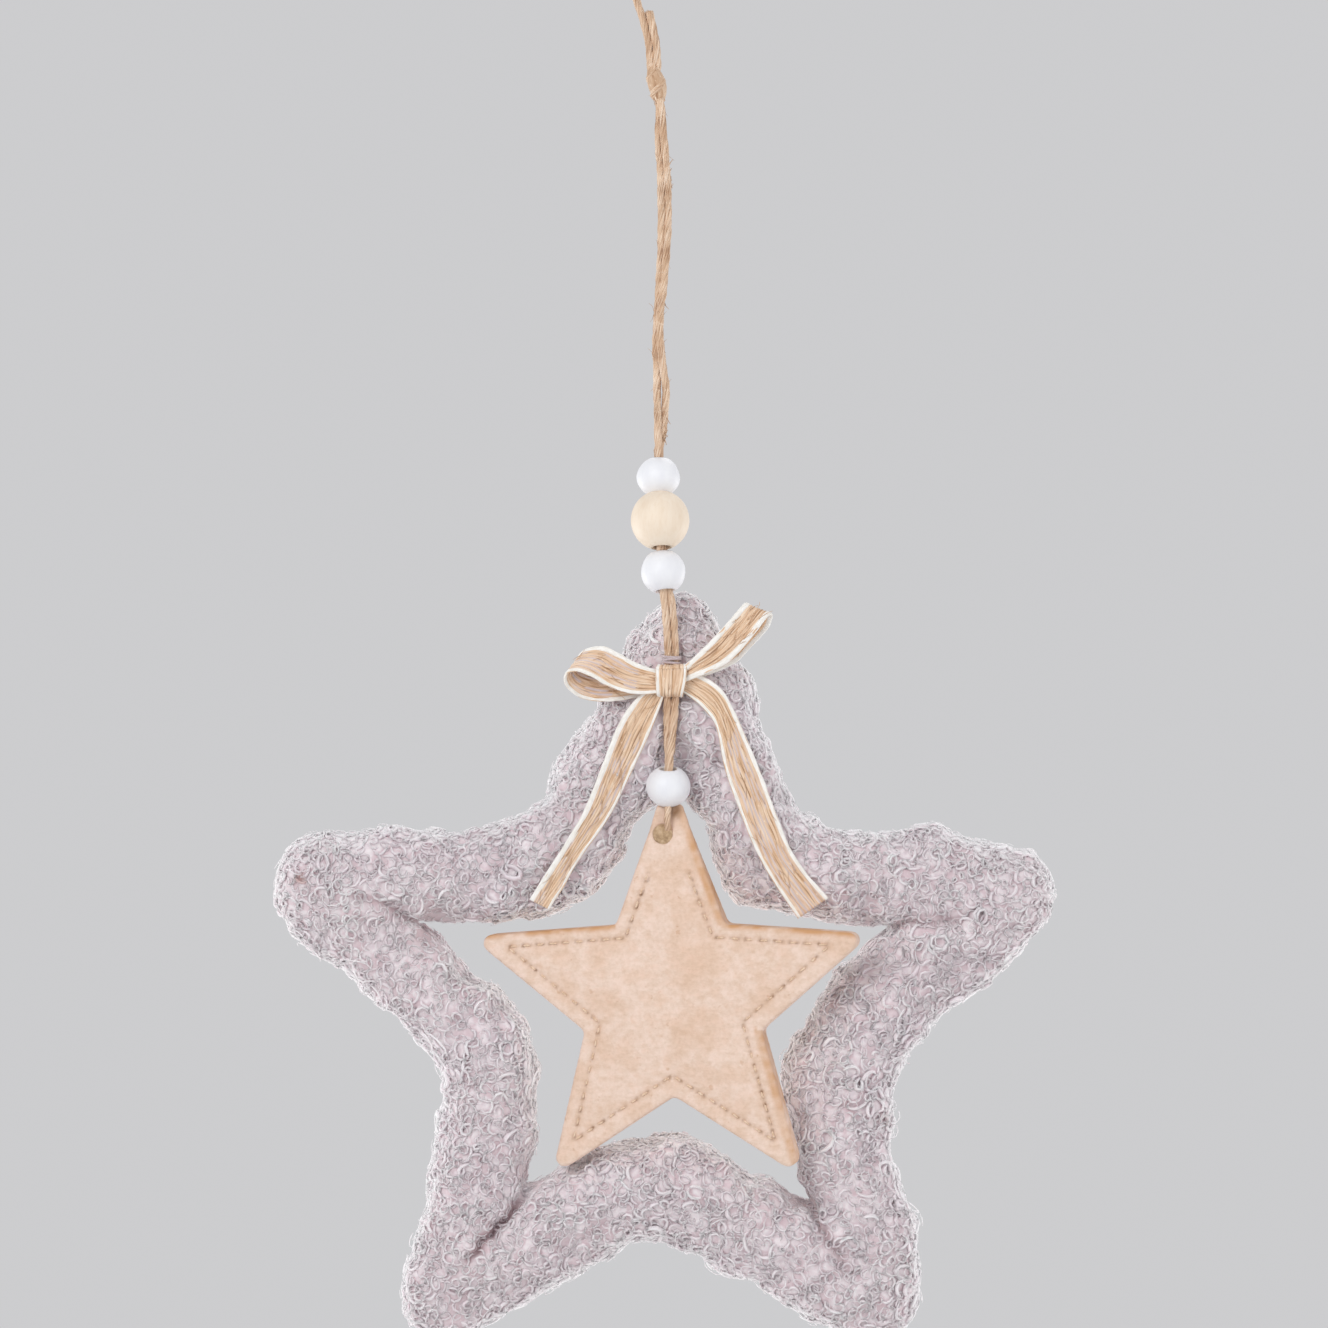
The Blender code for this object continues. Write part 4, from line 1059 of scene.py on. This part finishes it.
def addStrip(bm, rails, opening, seed):
    # a woven strip between two rails: lengthwise yarns as ridges, and thin places where the lit fleece behind
    # is painted in
    lay = layerOf(bm.verts.layers.float_vector, "lay")
    groove, tone, gap = (layerOf(bm.verts.layers.float, name) for name in ("groove", "tone", "gap"))
    inner = 1 - 2 * ribbon["cottonShare"]
    draw = random.Random(seed + 60)
    tones = [draw.uniform(0.25, 0.95) for _ in range(ribbon["yarns"] + 1)]
    length = lineLength([a.lerp(b, 0.5) for a, b in zip(*rails)])
    step = length / (len(rails[0]) - 1)
    moves = []
    for i, row in enumerate(stripRows(bm, rails, seed, step)):
        place = i * step
        for vert, a in zip(row, acrossPlaces()):
            vert[lay] = Vector((a * ribbon["width"] / 2, seed * 0.05, place))
            vert[tone] = 0.6
            ridge = 0.0
            if abs(a) < inner - 1e-6:
                yarn = (a / inner + 1) * ribbon["yarns"] / 2
                between = abs(yarn - round(yarn))
                # where the painted shade between the yarns falls
                vert[groove] = smoothStep(1 - between / 0.30)
                vert[tone] = tones[int(yarn)]
                # thin places, where the lit fleece behind is painted in
                if place / length > opening[0]:
                    thin = noise.noise(Vector((round(yarn) * 3.1 + seed, 0.5, place / 0.006)))
                    vert[gap] = smoothStep(1 - between / 0.42) * smoothStep((thin - opening[1]) / 0.12)
                ridge = ribbon["ridge"] * (math.sin(math.pi * (yarn % 1.0)) - 0.4)
                ridge *= 1 + 0.5 * noise.noise(Vector((int(yarn) * 3.0 + seed, place / 0.0025, 0)))
            ridge += 0.00025 * noise.noise(Vector((a * 2.2, seed, place / 0.005)))
            moves.append((vert, vert.normal * ridge))
    for vert, move in moves:
        vert.co += move


def cottonFrames(rails, which):
    # frames along one edge of a strip, X across the ribbon
    frames = [frameAt(point, rails[1 - which][i] - point, aheadAt(rails[which], i))
              for i, point in enumerate(rails[which])]
    return [f @ Matrix.Translation((ribbon["cottonHalfWidth"] * 0.55, 0, 0)) for f in frames]


def addLooseFibres(bm, rails, seed):
    # fine fibres that lie over the weave and lift from it
    draw = random.Random(seed + 80)
    for _ in range(round(lineLength(rails[0]) / ribbon["loosePitch"])):
        i = draw.randrange(6, len(rails[0]) - 6)
        start = rails[0][i].lerp(rails[1][i], draw.uniform(0.15, 0.85))
        ahead = (rails[0][i + 1] - rails[0][i - 1]).normalized() * draw.choice((-1, 1))
        across = (rails[1][i] - rails[0][i]).normalized()
        out = across.cross(ahead)
        if out.y > 0:
            out = -out
        run = draw.uniform(*ribbon["looseLength"])
        swing = draw.uniform(-0.5, 0.5)
        line = [start + out * 0.0002, start + ahead * run * 0.5 + across * run * swing * 0.3 + out * 0.0005,
                start + ahead * run + across * run * swing + out * draw.uniform(0.0002, 0.0008)]
        radii = [ribbon["looseRadius"] - ribbon["looseTaper"] * k for k in range(5)]
        addFibre(bm, evenPoints(smoothCurve(line, 4), 4), radii, 3)


def ribbonBow():
    weave, cotton, loose = bmesh.new(), bmesh.new(), bmesh.new()
    for seed, (edges, opening, cottonShares) in enumerate(bowStrips):
        rails = railPair(edges, edges is knotWrap)
        addStrip(weave, rails, opening, seed)
        addLooseFibres(loose, rails, seed)
        for which in (0, 1):
            sizes = []
            for i in range(len(rails[which])):
                uneven = noise.noise(Vector((i * ribbon["alongStep"] / 0.004, seed, which)))
                sizes.append((ribbon["cottonHalfWidth"] * (cottonShares[which] + 0.16 * uneven),
                              ribbon["cottonHalfDepth"]))
            addTube(cotton, cottonFrames(rails, which), sizes, 10)
    place = Matrix.Translation(twineAt(ribbon["knotDrop"]))
    for bm in (weave, cotton, loose):
        bmesh.ops.transform(bm, matrix=place, verts=bm.verts)
    bow = addPiece("ribbon_bow_weave", weave, ribbonJute, ("ribbon_bow",), asMade=True)
    wall = bow.modifiers.new("thickness", "SOLIDIFY")
    wall.thickness = ribbon["thickness"]
    wall.offset = 0.0
    ivory = threadMaterial("ivory cotton", 0.9, 1700, screen(234, 229, 220), screen(248, 246, 242),
                           lightFrom=0.6, bump=0.25)
    edge = addPiece("ribbon_cotton_edges", cotton, ivory)
    fibres = addPiece("ribbon_loose_fibres", loose, ribbonJute)
    return bow, edge, fibres


bowPiece, edgePiece, loosePiece = ribbonBow()
print("bow tied")

tie = {
    "gap": 0.0003, "height": 0.0025, "radius": 0.00036, "turns": 4, "turnSteps": 24,
    # how far the turns lie from the twine's middle, how far they rise and how uneven they are
    "reach": (0.00240, 0.00165), "rise": 0.0023, "uneven": 0.0004,
    # the ends that go into the fleece, in millimetres: how far across as a share, away and up
    "endAcross": 1.2, "end": [(1.0, 2.1, 0.4), (0.8, 3.4, 0.0), (0.5, 5.2, -0.6)],
}


def threadTie():
    # the thread wound round the twine above the bow, and its ends into the fleece
    place = twineFrame(ribbon["knotDrop"] - ribbon["knotHalf"] - tie["gap"] - tie["height"] / 2)
    count = tie["turns"] * tie["turnSteps"]
    line = []
    for i in range(count + 1):
        angle = 2 * math.pi * tie["turns"] * i / count + 1.2
        up = tie["rise"] * (i / count - 0.5) + tie["uneven"] * math.sin(angle * 0.7)
        across = tie["reach"][0] * math.cos(angle)
        back = tie["reach"][1] * math.sin(angle)
        line.append(place @ Vector((across, back, up)))
    runs = [line]
    for side in (-1, 1):
        points = [place @ (Vector((share * side * tie["endAcross"], y, z)) * mm)
                  for share, y, z in tie["end"]]
        runs.append(evenPoints(smoothCurve(points, 6), 8))
    bm = bmesh.new()
    for run in runs:
        addFibre(bm, run, [tie["radius"]] * len(run), 7)
    mauve = threadMaterial("mauve thread", 0.85, 2500, screen(176, 157, 160), screen(212, 199, 200),
                           bump=0.5)
    addPiece("mauve_thread_tie", bm, mauve, ("thread_tie",))


threadTie()


# Fleece ring

fleece = {
    "middle": Vector((0.0027, 0.0145, -0.3071)), "tips": 5, "turn": math.radians(-0.7),
    "roughVoxel": 0.0016, "voxel": 0.00115, "swell": 0.0012, "lump": 0.0015, "lumpSize": 0.0080,
    # the fold between the two tubes that meet at each tip, how deep at each
    "foldFrom": 0.064, "foldTo": 0.094, "foldWidth": 0.0017, "foldDepth": 0.0028,
    "foldShares": (0.6, 0.7, 1.3, 0.8, 0.6),
    "spacing": 0.00182, "strand": 0.00045, "stepLength": 0.00110, "sides": 4,
    "hairSpacing": 0.0031, "hairShare": 0.34, "hairLift": 0.0004, "hairSides": 3,
    # how near to the bow no lock is set, how large the few largest locks are and how many
    "bowClear": 0.0024, "largest": 1.5, "largestShare": 0.03,
    # coloured flecks caught in the pile: across, up, radius, how strong
    "specks": [(-0.0965, -0.2729, 0.0013, 0.75), (0.0614, -0.3390, 0.0009, 0.40)],
    # clefts where two tubes meet at the opening: angle, the opening's end, how much deeper, half width
    "clefts": [(162.0, 0.0555, 0.0140, 0.0062), (18.6, 0.0510, 0.0105, 0.0047),
               (232.5, 0.0530, 0.0095, 0.0050), (305.6, 0.0540, 0.0125, 0.0052)],
    # places where the stuffing bulges or falls in: angle in degrees, and reach, spread and how far in mm
    "bulges": [
        (5, 91, 9, 2.2), (10, 101, 6, -1.0), (25, 104, 7, -1.2), (32, 88, 8, 3.8), (41, 74, 5, -0.8),
        (48, 66, 10, -1.2), (70, 79, 5, -1.8), (82, 105, 7, -3.0), (97, 101, 6, 1.8), (114, 73, 9, 3.8),
        (126, 65, 8, 1.4), (140, 76, 6, -2.6), (148, 86, 7, 1.4), (170, 102, 8, 1.6), (180, 80, 8, 2.6),
        (191, 66, 8, 1.6), (203, 65, 8, 0.9), (214, 80, 7, 1.2), (220, 88, 5, -2.2), (230, 110, 6, 1.2),
        (246, 90, 7, 1.0), (258, 70, 8, 1.2), (272, 64, 10, 2.8), (284, 74, 9, 3.4), (295, 92, 8, 2.0),
        (318, 91, 9, 2.8), (333, 70, 9, 2.6), (342, 65, 8, 3.2), (352, 67, 9, 1.6), (54, 34, 9, 6.0),
        (37, 41, 7, -2.2), (180, 40, 7, -2.4), (203, 36, 8, -2.6), (255, 37, 6, -2.0),
        (101, 49, 8, -4.2), (78, 48, 7, -2.4), (170, 53, 8, -4.6), (222, 45, 7, -2.6),
        (299, 50, 8, -4.0), (353, 38, 8, -2.8), (338, 34, 7, 1.6)],
}


def flatFrom(point):
    # across and up from the ring's middle
    return Vector((point.x - fleece["middle"].x, point.z - fleece["middle"].z))


def fromMiddle(angle, reach):
    return Vector((reach * math.cos(math.radians(angle)), reach * math.sin(math.radians(angle))))


def foldShare(point):
    # how deep a point lies in the fold between the two tubes that meet at each tip
    flat = flatFrom(point)
    deepest = 0.0
    for i in range(fleece["tips"]):
        angle = math.pi / 2 + i * 2 * math.pi / fleece["tips"] + fleece["turn"]
        out = Vector((math.cos(angle), math.sin(angle)))
        along = flat.dot(out)
        across = flat.dot(Vector((-out.y, out.x)))
        across += 0.0015 * math.sin(along / 0.006) + 0.0014 * noise.noise(Vector((along / 0.003, i, 0.5)))
        window = smoothStep((along - fleece["foldFrom"]) / 0.006)
        window *= smoothStep((fleece["foldTo"] - along) / 0.012)
        share = window * math.exp(-(across / fleece["foldWidth"]) ** 2)
        deepest = max(deepest, share * fleece["foldShares"][i])
    return deepest


def lumpAt(point):
    # the locks bunch together: above 0 on a bunch, below it in a hollow
    return noise.noise(point / fleece["lumpSize"]) + 0.5 * noise.noise(point / 0.0038)


def cleftShares(point):
    # the ways the clefts run and how much of each is felt at the point
    flat = flatFrom(point)
    for angle, mouth, depth, width in fleece["clefts"]:
        out = fromMiddle(angle, 1.0)
        along = flat.dot(out)
        across = flat.dot(Vector((-out.y, out.x)))
        if along > 0 and abs(across) < 3 * width:
            yield Vector((out.x, 0, out.y)), along - mouth, depth, math.exp(-(across / width) ** 2)


def opened(point):
    # the point moved outwards where a cleft runs deeper between two tubes
    for out, beyond, depth, share in cleftShares(point):
        share *= 1 - smoothStep(beyond / depth / 2.2)
        point = point + out * depth * share * smoothStep((beyond + 0.022) / 0.01)
    return point


def cleftAt(point):
    # 1 deep in a cleft, where the locks lie small and flat
    deepest = 0.0
    for _, beyond, depth, share in cleftShares(point):
        window = smoothStep((depth * 1.3 - beyond) / 0.004) * smoothStep((beyond + 0.008) / 0.006)
        deepest = max(deepest, share * window)
    return deepest


bulgeSpots = [(fromMiddle(angle, reach * mm), spread * mm, far * mm)
              for angle, reach, spread, far in fleece["bulges"]]


def bulgeAt(point):
    flat = flatFrom(point)
    total = 0.0
    for spot, spread, far in bulgeSpots:
        away = (flat - spot).length_squared
        if away < 6 * spread * spread:
            total += far * math.exp(-away / spread ** 2)
    return total


def speckAt(point):
    # coloured flecks on the front of the pile
    for across, up, radius, strength in fleece["specks"]:
        away = math.hypot(point.x - across, point.z - up)
        if away < radius and point.y < fleece["middle"].y:
            return strength * (1 - 0.5 * away / radius)
    return 0.0


def rimShare(normal):
    # how much a place lies on the sides of the tubes: there the locks lie flatter, and a painted rim light
    # makes the pile paler
    return 0.75 * smoothStep((0.62 - abs(normal.y)) / 0.45)


def fleeceBase():
    # the stuffed ring under the locks, with its clefts, folds and bulges
    rough = remeshed(nodeShape("fleece_star_frame"), fleece["roughVoxel"], "fleece_rough")
    for vert in rough.verts:
        vert.co = opened(vert.co)
    bm = remeshed(rough, fleece["voxel"], "fleece_base")
    smoothed(bm, 6)
    rim, deep, speck = (bm.verts.layers.float.new(name) for name in ("rim", "deep", "speck"))
    moves = []
    for vert in bm.verts:
        fold = foldShare(vert.co)
        move = fleece["lump"] * lumpAt(vert.co) + fleece["swell"] - fleece["foldDepth"] * fold
        sideways = Vector((vert.normal.x, 0, vert.normal.z))
        moves.append(vert.normal * move + sideways * bulgeAt(vert.co))
        # painted shade: darker mauve brown deep in the clefts and in the folds between the tubes
        vert[deep] = min(1.0, max(cleftAt(vert.co), 0.9 * fold))
        vert[speck] = speckAt(vert.co)
        # painted rim light on the sides of the tubes, none in the clefts and folds
        vert[rim] = rimShare(vert.normal) * (1 - vert[deep])
    for vert, move in zip(bm.verts, moves):
        vert.co += move
    piece = addPiece("fleece_ring_backing", bm, fleeceBackingMaterial(), ("fleece_star_frame",))
    return piece


# how a lock coils: turns, radius, rise and lean, each from and to, and how many kinds there are
lockKinds = [
    ((0.90, 1.25), (0.0012, 0.0019), (0.0001, 0.0004), (0.0, 0.22), 12),
    ((0.50, 0.80), (0.0015, 0.0024), (0.0001, 0.0004), (0.0, 0.25), 12),
    ((1.20, 1.50), (0.0011, 0.0015), (0.0003, 0.0007), (0.1, 0.50), 4),
    ((0.30, 0.55), (0.0020, 0.0030), (0.0001, 0.0004), (0.0, 0.22), 6),
]
hairKinds = [((0.35, 0.90), (0.0013, 0.0028), (0.0003, 0.0010), (0.1, 0.70), 14)]


def curlKind(seed, turns, radius, rise, lean, hair):
    # one lock of the fleece, or a finer hair: a strand that coils over the surface
    draw = random.Random(seed)
    turns, radius, rise = draw.uniform(*turns), draw.uniform(*radius), draw.uniform(*rise)
    lean = Matrix.Rotation(draw.uniform(*lean), 4, "X")
    shrink = draw.uniform(0.15, 0.5)
    flatten = draw.uniform(0.60, 1.0)
    steps = round(min(12, max(6, 2 * math.pi * turns * radius * (1 - shrink / 2) / fleece["stepLength"])))
    shares = [i / steps for i in range(steps + 1)]
    line = []
    for share in shares:
        angle = 2 * math.pi * turns * share
        reach = radius * (1 - shrink * share) * (1 + 0.14 * math.sin(2.3 * angle + seed))
        line.append(lean @ Vector((reach * math.cos(angle), reach * flatten * math.sin(angle), rise * share)))
    middle = sum(line, Vector()) / len(line)
    low = min(p.z for p in line) - (fleece["hairLift"] if hair else 0.0)
    line = [p - Vector((middle.x, middle.y, low)) for p in line]
    half = fleece["strand"] * draw.uniform(0.85, 1.3) * (fleece["hairShare"] if hair else 1.0)
    halves = [half * (0.40 + 0.60 * math.sin(math.pi * (0.12 + 0.76 * share))) for share in shares]
    bm = bmesh.new()
    addTube(bm, framesAlong(line, Vector((0.1, 0.2, 1))), [(h * 1.3, h * 0.8) for h in halves],
            fleece["hairSides"] if hair else fleece["sides"])
    # height runs from 0 at the root to 1 at the top, for the painted shade at the root
    height = bm.verts.layers.float.new("height")
    for name in ("shade", "rim", "speck"):
        bm.verts.layers.float.new(name)
    top = max(v.co.z for v in bm.verts)
    for vert in bm.verts:
        vert[height] = min(1.0, max(0.0, vert.co.z / max(top, 0.0014)))
    bm.verts.layers.float_vector.remove(bm.verts.layers.float_vector["lay"])
    return meshFrom(bm, "curl")


def curlKinds(rows, firstSeed, hair):
    kinds = []
    for *shape, count in rows:
        kinds += [curlKind(firstSeed + len(kinds) + i, *shape, hair) for i in range(count)]
    return kinds


def scatterPoints(bm, spacing, seed):
    # places on the surface, none nearer to another than the spacing
    draw = random.Random(seed)
    faces = [(f.calc_center_median(), f.normal.copy()) for f in bm.faces]
    draw.shuffle(faces)
    taken = {}
    kept = []
    for place, normal in faces:
        cell = tuple(math.floor(c / spacing) for c in place)
        near = (taken.get((cell[0] + i, cell[1] + j, cell[2] + k), ())
                for i in (-1, 0, 1) for j in (-1, 0, 1) for k in (-1, 0, 1))
        if any((place - other).length < spacing for group in near for other in group):
            continue
        taken.setdefault(cell, []).append(place)
        kept.append((place, normal))
    return kept


def armOf(place):
    # which of the arms a place is on, counted from the top one
    flat = flatFrom(place)
    angle = (math.atan2(flat.y, flat.x) - math.pi / 2) % (2 * math.pi)
    return int(angle / (2 * math.pi) * fleece["tips"] + 0.5) % fleece["tips"]


def setAll(mesh, name, value):
    mesh.attributes[name].data.foreach_set("value", [value] * len(mesh.vertices))


def placedCurl(draw, kind, place, normal, tone):
    # a copy of the kind set on the surface, flat at the rims and small in folds and clefts
    cleft, fold, rim = cleftAt(place), foldShare(place), rimShare(normal)
    size = draw.uniform(0.8, 1.25) * (1 - 0.4 * min(1.0, fold)) * (1 - 0.45 * cleft)
    size *= fleece["largest"] if draw.random() < fleece["largestShare"] else 1.0
    bunch = lumpAt(place)
    flatten = Matrix.Diagonal((1, 1, 1 - 0.6 * max(rim, cleft), 1))
    lift = Matrix.Translation((0, 0, draw.uniform(-0.0002, 0.0002) * (1 - rim) + 0.0003 * bunch))
    spin = Matrix.Rotation(draw.uniform(0, 2 * math.pi), 4, "Z")
    lean = Matrix.Rotation(draw.uniform(0, 0.22), 4, "Y")
    upright = normal.to_track_quat("Z", "Y").to_matrix().to_4x4()
    kind.transform(Matrix.Translation(place) @ upright @ lift @ flatten @ lean @ spin @ Matrix.Scale(size, 4))
    # the lock's tone: its kind's value with a random spread, and painted shade: lighter on the bunches,
    # darker in the hollows between them and in the folds
    tone += 0.45 * bunch + draw.gauss(0, 0.16) - 0.45 * fold
    setAll(kind, "shade", min(1.0, max(0.0, tone)))
    # painted rim light on the lock, none in the clefts
    setAll(kind, "rim", rim * (1 - cleft))
    setAll(kind, "speck", speckAt(place))
    return kind


def fleeceCurls(base):
    material = fleeceCurlMaterial()
    draw = random.Random(41)
    locks, hairs = curlKinds(lockKinds, 100, False), curlKinds(hairKinds, 200, True)
    source = bmesh.new()
    source.from_mesh(base.data)
    places = [(*spot, locks, 0.52) for spot in scatterPoints(source, fleece["spacing"], 42)]
    places += [(*spot, hairs, 0.8) for spot in scatterPoints(source, fleece["hairSpacing"], 43)]
    source.free()
    pressed = BVHTree.FromObject(bowPiece, bpy.context.evaluated_depsgraph_get())
    arms = [bmesh.new() for _ in range(fleece["tips"])]
    for place, normal, kinds, tone in places:
        if cleftAt(place) > 0.985 or pressed.find_nearest(place, fleece["bowClear"])[0] is not None:
            continue
        curl = placedCurl(draw, draw.choice(kinds).copy(), place, normal, tone)
        arms[armOf(place)].from_mesh(curl)
        bpy.data.meshes.remove(curl)
    for i, bm in enumerate(arms, 1):
        piece = addPiece(f"fleece_curls_{i}", bm, material, asMade=True)
        piece.data.calc_loop_triangles()
        print("curl piece", i, "has", len(piece.data.loop_triangles), "triangles")


fleeceCurls(fleeceBase())
print("fleece ring made")


# Floor and light


def addStage():
    bm = bmesh.new()
    bmesh.ops.create_circle(bm, cap_ends=True, segments=96, radius=1.6,
                            matrix=Matrix.Translation((0, 0.2, -0.80)))
    floor = bpy.data.objects.new("floor", meshFrom(bm, "floor"))
    floor.data.materials.append(plainMaterial("pale floor", screen(226, 225, 224), 0.8))
    scene.collection.objects.link(floor)
    world = bpy.data.worlds.new("soft room")
    world.use_nodes = True
    world.node_tree.nodes["Background"].inputs["Color"].default_value = screen(226, 226, 228)
    world.node_tree.nodes["Background"].inputs["Strength"].default_value = 0.80
    scene.world = world
    lamps = {"key": ((-0.55, -0.95, 0.28), 0.55, 5.6), "fill": ((0.75, -0.8, -0.25), 0.7, 2.0),
             "left rim": ((-0.62, 0.30, -0.45), 0.5, 2.1), "right rim": ((0.62, 0.30, -0.35), 0.5, 1.8),
             "top rim": ((0.1, 0.45, 0.35), 0.5, 1.2), "low rim": ((0.0, 0.35, -0.76), 0.5, 1.7)}
    for name, (place, size, power) in lamps.items():
        data = bpy.data.lights.new(name, "AREA")
        data.shape = "DISK"
        data.size = size
        data.energy = power
        lamp = bpy.data.objects.new(name, data)
        lamp.location = place
        aim = Vector((0, 0.01, -0.26)) - Vector(place)
        lamp.rotation_euler = aim.to_track_quat("-Z", "Y").to_euler()
        scene.collection.objects.link(lamp)


addStage()
print("stage lit")
